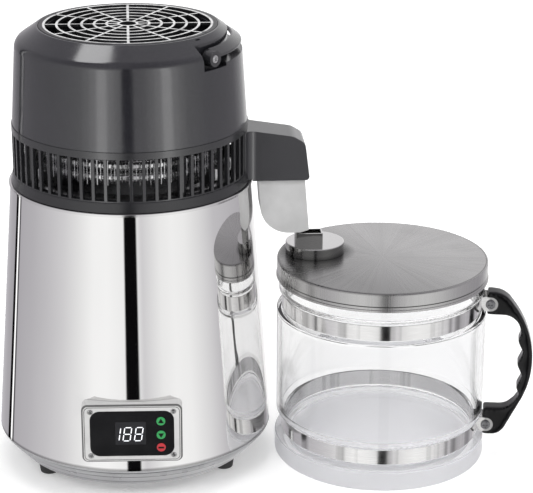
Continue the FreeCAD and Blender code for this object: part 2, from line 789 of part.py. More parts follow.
def base_ring():
    shoulder_r = BASE_R - CASING_OVERHANG
    lip_r = casing_radius(CASING_LOW_Z + RING_LIP_H) - SHEET - LIP_CLEARANCE
    flange_top = FOOT_H + RING_FLANGE_T
    body = turned([(RING_FLANGE_R, FOOT_H), (RING_TAPER_R, FOOT_H, RING_FOOT_ROUND),
                   (RING_BELLY_R, RING_BELLY_Z, RING_BELLY_ROUND),
                   (RING_BELLY_R + CASING_OVERHANG, RING_STEP_Z),
                   (shoulder_r, CASING_LOW_Z - RING_SHOULDER_H),
                   (shoulder_r, CASING_LOW_Z), (lip_r, CASING_LOW_Z),
                   (lip_r, CASING_LOW_Z + RING_LIP_H),
                   (lip_r - RING_WALL, CASING_LOW_Z + RING_LIP_H),
                   (lip_r - RING_WALL, CASING_LOW_Z),
                   (RING_BELLY_R - RING_WALL, RING_BELLY_Z + RING_WALL / 2,
                    RING_BELLY_ROUND - RING_WALL),
                   (RING_TAPER_R - RING_WALL / 2, flange_top, RING_FOOT_ROUND - RING_WALL),
                   (RING_FLANGE_R, flange_top)])
    return body.cut(foot_screw_holes(FOOT_H, flange_top))


def base_plate():
    body = post(BASE_PLATE_R, BASE_PLATE_LOW_Z, BASE_PLATE_TOP_Z)
    slot = plate_z(rectangle(AIR_SLOT_W, AIR_SLOT_L, AIR_SLOT_W / 2 - FIT_GAP, AIR_SLOT_CIRCLE_R),
                   BASE_PLATE_LOW_Z, BASE_PLATE_TOP_Z)
    slots = circle_of(slot, AIR_SLOT_COUNT, 180 / AIR_SLOT_COUNT)
    return body.cut(foot_screw_holes(BASE_PLATE_LOW_Z, BASE_PLATE_TOP_Z) + slots)


def feet():
    body = turned([(0, 0), (FOOT_LOW_R, 0, FOOT_LOW_ROUND), (FOOT_TOP_R, FOOT_H, EDGE_R), (0, FOOT_H)])
    sink = post(FOOT_SCREW_HEAD_R + FIT_GAP, 0, FOOT_SCREW_SINK)
    hole = post(FOOT_SCREW_R + RUN_GAP, 0, FOOT_H)
    foot = body.cut([sink, hole])
    return group([moved_copy(foot, place.x, place.y, 0) for place in foot_places()])


def foot_screws():
    shank = BASE_PLATE_TOP_Z + FOOT_SCREW_REACH - FOOT_SCREW_SINK
    screw = pan_head(FOOT_SCREW_HEAD_R, FOOT_SCREW_HEAD_H, FOOT_SCREW_R, shank)
    return group([laid(screw, V(place.x, place.y, FOOT_SCREW_SINK), -UP) for place in foot_places()])


def boiling_tank():
    bead_in_r = casing_radius(TANK_RIM_TOP_Z - TANK_BEAD_H) + FIT_GAP * 2
    bead_out_r = bead_in_r + TANK_BEAD_T
    bead_low_z = TANK_RIM_TOP_Z - TANK_BEAD_H
    return turned([(0, TANK_LOW_Z), (TANK_LOW_R, TANK_LOW_Z, TANK_CORNER_R),
                   (TANK_TOP_R, CASING_TOP_Z), (bead_in_r, CASING_TOP_Z),
                   (bead_in_r, bead_low_z), (bead_out_r, bead_low_z),
                   (bead_out_r, TANK_RIM_TOP_Z, TANK_BEAD_ROUND),
                   (TANK_TOP_R - SHEET, TANK_RIM_TOP_Z),
                   (TANK_LOW_R - SHEET, TANK_LOW_Z + SHEET, TANK_CORNER_R - SHEET),
                   (0, TANK_LOW_Z + SHEET)])


def heater_plate():
    return post(HEATER_R, HEATER_LOW_Z, TANK_LOW_Z).cut(
        post(STUD_R + RUN_GAP, HEATER_LOW_Z, TANK_LOW_Z))


def element_end(azimuth, sense):
    """Where one end of the ring starts to bend, the bend's middle, its foot and the terminal's tip."""
    start = polar(ELEMENT_RING_R, azimuth, ELEMENT_Z)
    centre = start - UP * ELEMENT_BEND_R
    along = polar(ELEMENT_BEND_R, azimuth + sense * 90)
    middle = centre + (along + UP * ELEMENT_BEND_R) * math.sqrt(0.5)
    foot = centre + along
    return start, middle, foot, foot - UP * (ELEMENT_LEG - ELEMENT_BEND_R)


def heating_element():
    """One bent tube: most of a ring, with both ends turned down as terminals."""
    start, start_middle, start_foot, start_tip = element_end(0.0, -1)
    end, end_middle, end_foot, end_tip = element_end(ELEMENT_ARC, 1)
    ring_middle = polar(ELEMENT_RING_R, ELEMENT_ARC / 2, ELEMENT_Z)
    path = Part.Wire([Part.makeLine(start_tip, start_foot),
                      Part.Arc(start_foot, start_middle, start).toShape(),
                      Part.Arc(start, ring_middle, end).toShape(),
                      Part.Arc(end, end_middle, end_foot).toShape(),
                      Part.makeLine(end_foot, end_tip)])
    section = Part.Wire(Part.makeCircle(ELEMENT_TUBE_R, start_tip, UP))
    tube = path.makePipeShell([section], True, True)
    return turned_copy(tube, 180 + (360 - ELEMENT_ARC) / 2)


def heater_clamp():
    bar = box(-CLAMP_W / 2, CLAMP_W / 2, -CLAMP_LENGTH / 2, CLAMP_LENGTH / 2,
              CLAMP_TOP_Z - CLAMP_T, CLAMP_TOP_Z)
    return bar.cut(post(STUD_R + RUN_GAP, CLAMP_TOP_Z - CLAMP_T, CLAMP_TOP_Z))


def clamp_fasteners():
    clamp_low_z = CLAMP_TOP_Z - CLAMP_T
    stud = post(STUD_R, clamp_low_z - NUT_T - STUD_R, TANK_LOW_Z)
    clamp_nut = moved_copy(nut(NUT_FLATS_R, STUD_R + RUN_GAP, NUT_T), 0, 0, clamp_low_z - NUT_T)
    return group([stud, clamp_nut])


def thermostats():
    low_z = HEATER_LOW_Z - THERMOSTAT_H
    can = post(THERMOSTAT_R, low_z + THERMOSTAT_CAP_H, HEATER_LOW_Z)
    body = can.fuse(post(THERMOSTAT_CAP_R, low_z, low_z + THERMOSTAT_CAP_H))
    return group([moved_copy(body, side * THERMOSTAT_X, 0, 0) for side in (-1, 1)])


def thermal_fuse():
    z = HEATER_LOW_Z - FUSE_R - FIT_GAP
    body = rod(FUSE_R, V(FUSE_X, -FUSE_LENGTH / 2, z), V(FUSE_X, FUSE_LENGTH / 2, z))
    reach = FUSE_LENGTH / 2 + FUSE_LEAD
    lead = rod(FUSE_LEAD_R, V(FUSE_X, -reach, z), V(FUSE_X, reach, z))
    return body.fuse(lead).removeSplitter()


def board_standoffs():
    half_w = BOARD_W / 2 - STANDOFF_INSET
    half_d = BOARD_D / 2 - STANDOFF_INSET
    return group([post(STANDOFF_R, BASE_PLATE_TOP_Z, BASE_PLATE_TOP_Z + STANDOFF_H, x, y)
                  for x in (-half_w, half_w) for y in (-half_d, half_d)])


def control_board():
    low_z = BASE_PLATE_TOP_Z + STANDOFF_H
    top_z = low_z + BOARD_T
    board = block((0, 0), (BOARD_W, BOARD_D, BOARD_T), low_z)
    parts = [block(TRANSFORMER_AT, TRANSFORMER, top_z),
             block(RELAY_AT, RELAY, top_z),
             block(HEAT_SINK_AT, HEAT_SINK, top_z),
             post(CAPACITOR_R, top_z, top_z + CAPACITOR_H, *CAPACITOR_AT)]
    return fused([board] + parts)


# ---------------------------------------------------------------- control panel

def panel_housing():
    outline = rectangle(PANEL_W, PANEL_H, PANEL_CORNER_R, 0, PANEL_Z)
    body = plate_y(outline, -PANEL_Y, 0)
    front_edges = [edge for edge in body.Edges
                   if all(abs(vertex.Y + PANEL_Y) < TOLERANCE for vertex in edge.Vertexes)]
    body = body.makeChamfer(PANEL_BEVEL, front_edges)
    recess = plate_y(rectangle(FACE_W + 2 * FIT_GAP, FACE_H + 2 * FIT_GAP,
                               FACE_CORNER_R + FIT_GAP, 0, PANEL_Z), -PANEL_Y, FACE_BACK_Y)
    window = plate_y(rectangle(PANEL_WINDOW_W, PANEL_WINDOW_H, PANEL_BEVEL, 0, PANEL_Z), -PANEL_Y, 0)
    cutters = [casing_cone(PANEL_BACK_GAP), recess, window]
    for x, z in panel_screw_places():
        cutters.append(rod(PANEL_SCREW_R + RUN_GAP, V(x, -PANEL_Y, z), V(x, 0, z)))
        cutters.append(rod(PANEL_SCREW_HEAD_R + FIT_GAP, V(x, -PANEL_Y, z),
                           V(x, -PANEL_Y + PANEL_SCREW_HEAD_T, z)))
    return on_panel(body.cut(cutters))


def button_place(name):
    return V(BUTTON_X, FACE_FRONT_Y, PANEL_Z + BUTTON_Z[name])


def panel_face():
    plate = plate_y(rectangle(FACE_W, FACE_H, FACE_CORNER_R, 0, PANEL_Z), FACE_FRONT_Y, FACE_BACK_Y)
    window = plate_y(rectangle(DISPLAY_W, DISPLAY_H, 0, DISPLAY_X, PANEL_Z), FACE_FRONT_Y, FACE_BACK_Y)
    holes = []
    for name in BUTTON_Z:
        place = button_place(name)
        holes.append(rod(BUTTON_R + FIT_GAP, place, place + V(0, FACE_T, 0)))
    return on_panel(plate.cut([window] + holes))


def display_module():
    lens = plate_y(rectangle(DISPLAY_W - 2 * FIT_GAP, DISPLAY_H - 2 * FIT_GAP, 0, DISPLAY_X, PANEL_Z),
                   FACE_FRONT_Y + FACE_SINK / 2, DISPLAY_BACK_Y)
    flange = plate_y(rectangle(DISPLAY_W + 2 * DISPLAY_FLANGE, DISPLAY_H + 2 * DISPLAY_FLANGE, 0,
                               DISPLAY_X, PANEL_Z), FACE_BACK_Y, FACE_BACK_Y + DISPLAY_FLANGE_T)
    return on_panel(fused([lens, flange]))


def key_board():
    board = plate_y(rectangle(KEY_BOARD_W, KEY_BOARD_H, EDGE_R, 0, PANEL_Z),
                    DISPLAY_BACK_Y, DISPLAY_BACK_Y + KEY_BOARD_T)
    switches = []
    plunger_y = FACE_BACK_Y + FIT_GAP + BUTTON_FLANGE_T + BUTTON_TRAVEL + FIT_GAP
    for name in BUTTON_Z:
        place = button_place(name)
        switches.append(plate_y(rectangle(KEY_SWITCH_W, KEY_SWITCH_W, FINE_EDGE_R, place.x, place.z),
                                DISPLAY_BACK_Y - KEY_SWITCH_H, DISPLAY_BACK_Y))
        switches.append(rod(BUTTON_STEM_R, V(place.x, plunger_y, place.z),
                            V(place.x, DISPLAY_BACK_Y - KEY_SWITCH_H, place.z)))
    return on_panel(fused([board] + switches))


def button(name):
    place = button_place(name)
    flange_y = FACE_BACK_Y + FIT_GAP
    front = V(place.x, place.y - BUTTON_PROUD, place.z)
    height = flange_y - front.y
    cap = laid(turned([(0, 0), (BUTTON_R, 0), (BUTTON_R, height, FINE_EDGE_R), (0, height)]),
               V(place.x, flange_y, place.z), V(0, -1, 0))
    flange = rod(BUTTON_FLANGE_R, V(place.x, flange_y, place.z),
                 V(place.x, flange_y + BUTTON_FLANGE_T, place.z))
    return on_panel(fused([cap, flange]))


def panel_screws():
    screw = pan_head(PANEL_SCREW_HEAD_R, PANEL_SCREW_HEAD_T, PANEL_SCREW_R, PANEL_SCREW_LENGTH)
    seat_y = -PANEL_Y + PANEL_SCREW_HEAD_T
    return on_panel(group([laid(screw, V(x, seat_y, z), V(0, -1, 0)) for x, z in panel_screw_places()]))


# ---------------------------------------------------------------- sockets on the back

def inlet_front_y():
    return casing_radius(INLET_Z) + INLET_PROUD


def power_inlet():
    front_y = inlet_front_y()
    flange = plate_y(rectangle(INLET_W, INLET_H, INLET_CORNER_R, 0, INLET_Z), 0, front_y)
    flange = flange.cut(casing_cone(PANEL_BACK_GAP))
    barrel = plate_y(rectangle(INLET_BODY_W, INLET_BODY_H, EDGE_R, 0, INLET_Z),
                     front_y - INLET_DEPTH, front_y)
    cavity = plate_y(rectangle(INLET_CAVITY_W, INLET_CAVITY_H, INLET_CAVITY_CORNER_R, 0, INLET_Z),
                     front_y - INLET_CAVITY_DEPTH, front_y)
    screw_holes = [rod(SCREW_R + RUN_GAP, V(side * INLET_SCREW_X, 0, INLET_Z),
                       V(side * INLET_SCREW_X, front_y, INLET_Z)) for side in (-1, 1)]
    pin_holes = inlet_pin_solids(FIT_GAP / 2)
    return flange.fuse(barrel).removeSplitter().cut([cavity] + screw_holes + pin_holes)


def inlet_pin_solids(grow):
    """Three flat blades in the socket, from inside the barrel's back wall."""
    back_y = inlet_front_y() - INLET_DEPTH
    width = INLET_PIN[0] + 2 * grow
    height = INLET_PIN[1] + 2 * grow
    places = [(-INLET_PIN_X, -INLET_PIN_Z), (0, INLET_PIN_Z), (INLET_PIN_X, -INLET_PIN_Z)]
    length = INLET_DEPTH - INLET_CAVITY_DEPTH + INLET_PIN_LENGTH
    return [plate_y(rectangle(width, height, 0, x, INLET_Z + z), back_y, back_y + length)
            for x, z in places]


def inlet_pins():
    return group(inlet_pin_solids(0))


def inlet_screws():
    screw = pan_head(SCREW_HEAD_R, SCREW_HEAD_H, SCREW_R, INLET_SCREW_LENGTH)
    front_y = inlet_front_y()
    return group([laid(screw, V(side * INLET_SCREW_X, front_y, INLET_Z), V(0, 1, 0)) for side in (-1, 1)])


def lead_socket(wall_y, z):
    """Round two-pin socket for the fan's lead, facing +Y, on a wall whose outside is at wall_y."""
    front_y = wall_y + LEAD_PROUD
    flange = rod(LEAD_SOCKET_R, V(0, wall_y, z), V(0, front_y, z))
    barrel = rod(LEAD_BARREL_R, V(0, wall_y - LEAD_DEPTH, z), V(0, wall_y, z))
    cavity = rod(LEAD_CAVITY_R, V(0, front_y - LEAD_CAVITY_DEPTH, z), V(0, front_y, z))
    pin_y = front_y - LEAD_CAVITY_DEPTH
    pins = [rod(LEAD_PIN_R, V(side * LEAD_PIN_X, pin_y - LEAD_PIN_R, z),
                V(side * LEAD_PIN_X, pin_y + LEAD_PIN_LENGTH, z)) for side in (-1, 1)]
    return fused([flange.fuse(barrel).cut(cavity)] + pins)


def fan_outlet():
    return lead_socket(casing_radius(FAN_OUTLET_Z - LEAD_SOCKET_R) + PANEL_BACK_GAP, FAN_OUTLET_Z)


def fan_inlet():
    return lead_socket(cover_radius(FAN_INLET_Z - LEAD_SOCKET_R) + PANEL_BACK_GAP, FAN_INLET_Z)


# ---------------------------------------------------------------- dome

def cover_radius(z):
    share = (z - VENT_TOP_Z) / (SHOULDER_LOW_Z - VENT_TOP_Z)
    return COVER_LOW_R + (SHOULDER_R - COVER_LOW_R) * share


def pillar_places():
    return [polar(PILLAR_CIRCLE_R, PILLAR_FIRST_AZ + 360 * index / PILLAR_COUNT)
            for index in range(PILLAR_COUNT)]


def fan_boss_places():
    return [polar(FAN_BOSS_CIRCLE_R, FAN_ARM_FIRST_AZ + 360 * index / FAN_ARM_COUNT)
            for index in range(FAN_ARM_COUNT)]


def dome_outside():
    """The dome's full outside shape, with the grille's seat open."""
    return turned([(GRILLE_R - GRILLE_SEAT_W, VENT_TOP_Z), (COVER_LOW_R, VENT_TOP_Z),
                   (SHOULDER_R, SHOULDER_LOW_Z, SHOULDER_ROUND),
                   (SHOULDER_TOP_R, DOME_TOP_Z - GRILLE_PROUD, FINE_EDGE_R),
                   (GRILLE_R + SEAT_GAP, DOME_TOP_Z - GRILLE_PROUD),
                   (GRILLE_R + SEAT_GAP, GRILLE_SEAT_Z), (GRILLE_R - GRILLE_SEAT_W, GRILLE_SEAT_Z)])


def dome_inside():
    wall = COVER_WALL
    seat_low_z = GRILLE_SEAT_Z - wall
    return turned([(0, VENT_TOP_Z), (COVER_LOW_R - wall, VENT_TOP_Z),
                   (SHOULDER_R - wall, SHOULDER_LOW_Z - wall / 2, SHOULDER_ROUND - wall / 2),
                   (GRILLE_R + SEAT_GAP, seat_low_z), (0, seat_low_z)])


def handle_recess(grow):
    """Step round the spout half of the shoulder where the handle lies, larger by a wall."""
    inner_r = RECESS_R - grow
    wide = math.degrees(grow / RECESS_R)
    far_r = COVER_LOW_R + COVER_WALL
    first = PIVOT_AZ - RECESS_END_AZ - wide
    sweep = 180 + 2 * (RECESS_END_AZ + wide)
    step = turned([(inner_r, RECESS_FLOOR_Z - grow), (far_r, RECESS_FLOOR_Z - grow),
                   (far_r, DOME_TOP_Z), (inner_r, DOME_TOP_Z)], first, sweep)
    shapes = [step]
    for azimuth in (PIVOT_AZ, PIVOT_AZ + 180):
        start = azimuth - PIVOT_NOTCH_AZ - wide
        shapes.append(turned([(inner_r, PIVOT_NOTCH_Z - grow), (far_r, PIVOT_NOTCH_Z - grow),
                              (far_r, DOME_TOP_Z), (inner_r, DOME_TOP_Z)],
                             start, 2 * (PIVOT_NOTCH_AZ + wide)))
    return fused(shapes)


def dome_cover():
    outside = dome_outside().fuse(post(GRILLE_R - GRILLE_SEAT_W, VENT_TOP_Z, GRILLE_SEAT_Z))
    inside = dome_inside().cut(handle_recess(COVER_WALL))
    mouth = post(GRILLE_R - GRILLE_SEAT_W, VENT_TOP_Z, DOME_TOP_Z)
    shell = outside.removeSplitter().cut([inside, mouth, handle_recess(0)])
    fan_bosses = [post(FAN_BOSS_R, FAN_BRACKET_TOP_Z, FAN_BRACKET_TOP_Z + FAN_BOSS_H, place.x, place.y)
                  for place in fan_boss_places()]
    fan_webs = [moved_copy(turned_copy(box(0, COVER_LOW_R - FAN_BOSS_CIRCLE_R, -WEB_HALF_T, WEB_HALF_T,
                                           FAN_BRACKET_TOP_Z, FAN_BRACKET_TOP_Z + FAN_BOSS_H),
                                       FAN_ARM_FIRST_AZ + 360 * index / FAN_ARM_COUNT),
                           place.x, place.y, 0) for index, place in enumerate(fan_boss_places())]
    screw_bosses = [post(SCREW_BOSS_R, VENT_TOP_Z, VENT_TOP_Z + SCREW_BOSS_H, place.x, place.y)
                    for place in pillar_places()]
    screw_webs = [moved_copy(turned_copy(box(0, COVER_LOW_R - PILLAR_CIRCLE_R - COVER_WALL / 2,
                                             -WEB_HALF_T, WEB_HALF_T, VENT_TOP_Z + VENT_SPIGOT_H + EDGE_R,
                                             VENT_TOP_Z + SCREW_BOSS_H),
                                         PILLAR_FIRST_AZ + 360 * index / PILLAR_COUNT),
                             place.x, place.y, 0) for index, place in enumerate(pillar_places())]
    pivot_blocks = [rod(PIVOT_BLOCK_R, polar(RECESS_R - PIVOT_BLOCK_DEPTH, azimuth, PIVOT_Z),
                        polar(RECESS_R, azimuth, PIVOT_Z)) for azimuth in (PIVOT_AZ, PIVOT_AZ + 180)]
    keep = dome_outside().fuse(post(GRILLE_R - GRILLE_SEAT_W, VENT_TOP_Z, GRILLE_SEAT_Z))
    ribs = fused(fan_bosses + fan_webs + screw_bosses + screw_webs + pivot_blocks).common(keep)
    body = shell.fuse(ribs).removeSplitter()
    holes = [post(SCREW_R + RUN_GAP, FAN_BRACKET_TOP_Z, FAN_BRACKET_TOP_Z + FAN_SCREW_REACH,
                  place.x, place.y) for place in fan_boss_places()]
    holes += [post(SCREW_R + RUN_GAP, VENT_TOP_Z, VENT_TOP_Z + DOME_SCREW_REACH, place.x, place.y)
              for place in pillar_places()]
    holes += [rod(HANDLE_SCREW_R + RUN_GAP, polar(RECESS_R - PIVOT_BLOCK_DEPTH, azimuth, PIVOT_Z),
                  polar(COVER_LOW_R, azimuth, PIVOT_Z)) for azimuth in (PIVOT_AZ, PIVOT_AZ + 180)]
    holes += [post(GRILLE_SCREW_R + RUN_GAP, GRILLE_SEAT_Z - COVER_WALL * 2, GRILLE_SEAT_Z,
                   place.x, place.y) for place in grille_screw_places()]
    holes.append(rod(LEAD_BARREL_R + FIT_GAP, V(0, 0, FAN_INLET_Z), V(0, COVER_LOW_R, FAN_INLET_Z)))
    holes.append(shoulder_slot())
    return body.cut(holes)


def shoulder_slot():
    slope = math.degrees(math.atan2(DOME_TOP_Z - SHOULDER_LOW_Z, SHOULDER_R - SHOULDER_TOP_R))
    cutter = Part.makeBox(SLOT_W, SLOT_LENGTH, SLOT_DEPTH * 2, V(-SLOT_W / 2, -SLOT_LENGTH / 2, -SLOT_DEPTH))
    cutter.rotate(ORIGIN, V(0, 1, 0), slope)
    share = (SLOT_R - SHOULDER_TOP_R) / (SHOULDER_R - SHOULDER_TOP_R)
    cutter.translate(V(SLOT_R, 0, DOME_TOP_Z - share * (DOME_TOP_Z - SHOULDER_LOW_Z)))
    return turned_copy(cutter, SLOT_AZ)


def spout_plan(half_w, tip_x, z_low, z_high):
    """Spout housing seen from above: straight sides that flare out to the dome's wall."""
    wall_r = VENT_RING_OUT_R + FIT_GAP
    flare_x = math.sqrt((wall_r + SPOUT_FLARE_R) ** 2 - (half_w + SPOUT_FLARE_R) ** 2)
    share = wall_r / (wall_r + SPOUT_FLARE_R)
    root = V(flare_x * share, (half_w + SPOUT_FLARE_R) * share, z_low)
    edges = []
    for side in (-1, 1):
        middle_way = V(0, -side, 0) + V(-root.x, -side * root.y, 0).normalize()
        middle_way.normalize()
        centre = V(flare_x, side * (half_w + SPOUT_FLARE_R), z_low)
        arc = Part.Arc(V(root.x, side * root.y, z_low), centre + middle_way * SPOUT_FLARE_R,
                       V(flare_x, side * half_w, z_low))
        edges.append(arc.toShape())
        edges.append(Part.makeLine(V(flare_x, side * half_w, z_low), V(tip_x, side * half_w, z_low)))
        edges.append(Part.makeLine(V(root.x, side * root.y, z_low), V(0, side * root.y, z_low)))
    for x, reach in ((tip_x, half_w), (0, root.y)):
        edges.append(Part.makeLine(V(x, -reach, z_low), V(x, reach, z_low)))
    wire = Part.Wire(Part.__sortEdges__(edges))
    return Part.Face(wire).extrude(V(0, 0, z_high - z_low))


def spout_side(inset):
    """Side outline of the spout housing, smaller by a wall."""
    root_x = VENT_RING_IN_R - SPOUT_ROOT_DEPTH
    slope = (SPOUT_ROOT_TOP_Z - SPOUT_SHOULDER_Z) / (SPOUT_SHOULDER_X - VENT_RING_IN_R)
    root_z = SPOUT_ROOT_TOP_Z + slope * (VENT_RING_IN_R - root_x)
    return [(root_x, SPOUT_LOW_Z + inset),
            (SPOUT_TIP_X - inset, SPOUT_LOW_Z + inset, SPOUT_CORNER_R - inset),
            (SPOUT_BROW_X - inset, SPOUT_BROW_Z - inset / 2, SPOUT_BROW_R),
            (SPOUT_SHOULDER_X - inset / 2, SPOUT_SHOULDER_Z - inset, SPOUT_SHOULDER_R),
            (root_x, root_z - inset)]


def spout_outside(grow):
    plan = spout_plan(SPOUT_HALF_W + grow, SPOUT_TIP_X + COVER_WALL, SPOUT_LOW_Z - grow, DOME_TOP_Z)
    side = plate_y(spout_side(-grow), -COVER_LOW_R, COVER_LOW_R)
    return plan.common(side)


def spout_housing():
    inner_half_w = SPOUT_HALF_W - SPOUT_WALL
    cavity = plate_y(spout_side(SPOUT_WALL), -inner_half_w, inner_half_w)
    root = spout_root(0)
    rim_clear = post(casing_radius(CASING_TOP_Z) + TANK_BEAD_T * 2 + SEAT_GAP, 0, BAND_LOW_Z)
    opening = plate_z([(NOZZLE_ROOT_X - SEAT_GAP, -NOZZLE_HALF_W - SEAT_GAP),
                       (NOZZLE_ROOT_END_X + SEAT_GAP, -NOZZLE_HALF_W - SEAT_GAP),
                       (NOZZLE_ROOT_END_X + SEAT_GAP, NOZZLE_HALF_W + SEAT_GAP),
                       (NOZZLE_ROOT_X - SEAT_GAP, NOZZLE_HALF_W + SEAT_GAP)],
                      SPOUT_LOW_Z, SPOUT_LOW_Z + SPOUT_WALL)
    return spout_outside(0).cut([cavity, root, rim_clear, opening])


def spout_root(shrink):
    """Space inside the housing's inner end: the dome's ring, and the band behind its gasket groove."""
    band_r = GASKET_OUT_R + BAND_ROOT_WALL - shrink
    behind_band = post(band_r, SPOUT_LOW_Z - SPOUT_WALL, BAND_TOP_Z + VENT_FOOT_H + FIT_GAP - shrink)
    return behind_band.fuse(post(VENT_RING_IN_R - shrink, SPOUT_LOW_Z - SPOUT_WALL, DOME_TOP_Z))


def spout_socket():
    """What the housing's inner end takes out of the band and the vent ring, with a fit gap."""
    return spout_outside(FIT_GAP).cut(spout_root(FIT_GAP))


def nozzle_side(inset, top_z):
    """Side outline of the filter nozzle: a quarter-round at the inner foot."""
    foot_x = NOZZLE_FOOT_X + inset
    sweep_r = NOZZLE_SWEEP_R - inset
    return [(NOZZLE_ROOT_X + inset, top_z), (foot_x, NOZZLE_LOW_Z + inset, sweep_r),
            (NOZZLE_TIP_X - NOZZLE_TIP_RUN, NOZZLE_LOW_Z + inset),
            (NOZZLE_TIP_X - inset, NOZZLE_LOW_Z + NOZZLE_TIP_RISE + inset),
            (NOZZLE_ROOT_END_X - inset, top_z)]


def nozzle_top_z():
    return SPOUT_LOW_Z + SPOUT_WALL + NOZZLE_FLANGE_T


def filter_nozzle():
    floor_z = SPOUT_LOW_Z + SPOUT_WALL
    top_z = nozzle_top_z()
    shell = plate_y(nozzle_side(0, top_z), -NOZZLE_HALF_W, NOZZLE_HALF_W)
    inner_half_w = NOZZLE_HALF_W - NOZZLE_WALL
    cavity = plate_y(nozzle_side(NOZZLE_WALL, top_z), -inner_half_w, inner_half_w)
    flange_plan = rectangle(NOZZLE_ROOT_END_X - NOZZLE_ROOT_X + 2 * NOZZLE_FLANGE,
                            2 * (SPOUT_HALF_W - SPOUT_WALL - 2 * FIT_GAP), 0,
                            (NOZZLE_ROOT_X + NOZZLE_ROOT_END_X) / 2)
    flange = plate_z(flange_plan, floor_z, top_z)
    slot = box(NOZZLE_SLOT_X, NOZZLE_SLOT_X + NOZZLE_SLOT_LENGTH, -NOZZLE_SLOT_HALF_W,
               NOZZLE_SLOT_HALF_W, NOZZLE_LOW_Z - NOZZLE_WALL, NOZZLE_LOW_Z + NOZZLE_WALL * 2)
    return shell.fuse(flange).removeSplitter().cut([cavity, slot])


def carbon_sachet():
    inset = NOZZLE_WALL + SEAT_GAP
    half_w = NOZZLE_HALF_W - inset - SACHET_GAP
    pad = plate_y(nozzle_side(inset, nozzle_top_z()), -half_w, half_w)
    above = box(NOZZLE_ROOT_X, NOZZLE_TIP_X, -half_w, half_w, SACHET_TOP_Z, nozzle_top_z())
    beside = box(NOZZLE_TIP_X - NOZZLE_TIP_RUN, NOZZLE_TIP_X, -half_w, half_w,
                 NOZZLE_LOW_Z, SACHET_TOP_Z)
    return pad.cut([above, beside])


def dome_band():
    ledge_wall_r = VENT_RING_IN_R
    body = turned([(BAND_LEDGE_R, LEDGE_LOW_Z), (GASKET_IN_R - BAND_WALL, LEDGE_LOW_Z),
                   (GASKET_IN_R - BAND_WALL, BAND_LOW_Z), (BAND_LOW_R, BAND_LOW_Z),
                   (BAND_TOP_R, BAND_TOP_Z, BAND_EDGE_R),
                   (ledge_wall_r, BAND_TOP_Z), (ledge_wall_r, LEDGE_TOP_Z),
                   (BAND_LEDGE_R, LEDGE_TOP_Z)])
    groove = ring(GASKET_OUT_R + FIT_GAP, GASKET_IN_R - FIT_GAP, BAND_LOW_Z, LEDGE_LOW_Z)
    screw_holes = [post(SCREW_R + RUN_GAP, LEDGE_LOW_Z, LEDGE_TOP_Z, place.x, place.y)
                   for place in pillar_places()]
    pillar_clear = [post(PILLAR_R + FIT_GAP, LEDGE_TOP_Z, BAND_TOP_Z, place.x, place.y)
                    for place in pillar_places()]
    return body.cut([groove, spout_socket()] + screw_holes + pillar_clear)


def tank_gasket():
    return ring(GASKET_OUT_R, GASKET_IN_R, TANK_RIM_TOP_Z + SEAT_GAP / 2, LEDGE_LOW_Z)


def vent_ring():
    slat_in_r = VENT_RING_OUT_R - SLAT_DEPTH - FIT_GAP * 2
    lip = ring(VENT_RING_OUT_R, VENT_RING_IN_R, VENT_LIP_Z, VENT_TOP_Z)
    spigot_r = COVER_LOW_R - COVER_WALL - SEAT_GAP * 2
    spigot = ring(spigot_r, spigot_r - VENT_SPIGOT_T, VENT_TOP_Z, VENT_TOP_Z + VENT_SPIGOT_H)
    foot = ring(BAND_TOP_R - FIT_GAP * 2, VENT_RING_IN_R, BAND_TOP_Z, BAND_TOP_Z + VENT_FOOT_H)
    slat = box(slat_in_r, slat_in_r + SLAT_DEPTH, -SLAT_W / 2, SLAT_W / 2, BAND_TOP_Z, VENT_LIP_Z)
    free_half_az = 180 * SPOUT_SLATS / SLAT_COUNT
    slats = []
    for index in range(SLAT_COUNT):
        azimuth = 360 * index / SLAT_COUNT
        if min(azimuth, 360 - azimuth) > free_half_az:
            slats.append(turned_copy(slat, azimuth))
    pillars = [post(PILLAR_R, PAN_TOP_Z, VENT_TOP_Z, place.x, place.y) for place in pillar_places()]
    body = fused([lip, spigot, foot] + slats + pillars)
    screw_holes = [post(SCREW_R + RUN_GAP, PAN_TOP_Z, VENT_TOP_Z, place.x, place.y)
                   for place in pillar_places()]
    boss_clear = [post(SCREW_BOSS_R + SEAT_GAP, VENT_TOP_Z, VENT_TOP_Z + VENT_SPIGOT_H, place.x, place.y)
                  for place in pillar_places()]
    return body.cut([spout_socket()] + screw_holes + boss_clear)


def dome_screws():
    length = VENT_TOP_Z + DOME_SCREW_REACH - SCREW_END_GAP - LEDGE_LOW_Z
    screw = pan_head(SCREW_HEAD_R, SCREW_HEAD_H, SCREW_R, length)
    return group([laid(screw, V(place.x, place.y, LEDGE_LOW_Z), -UP) for place in pillar_places()])


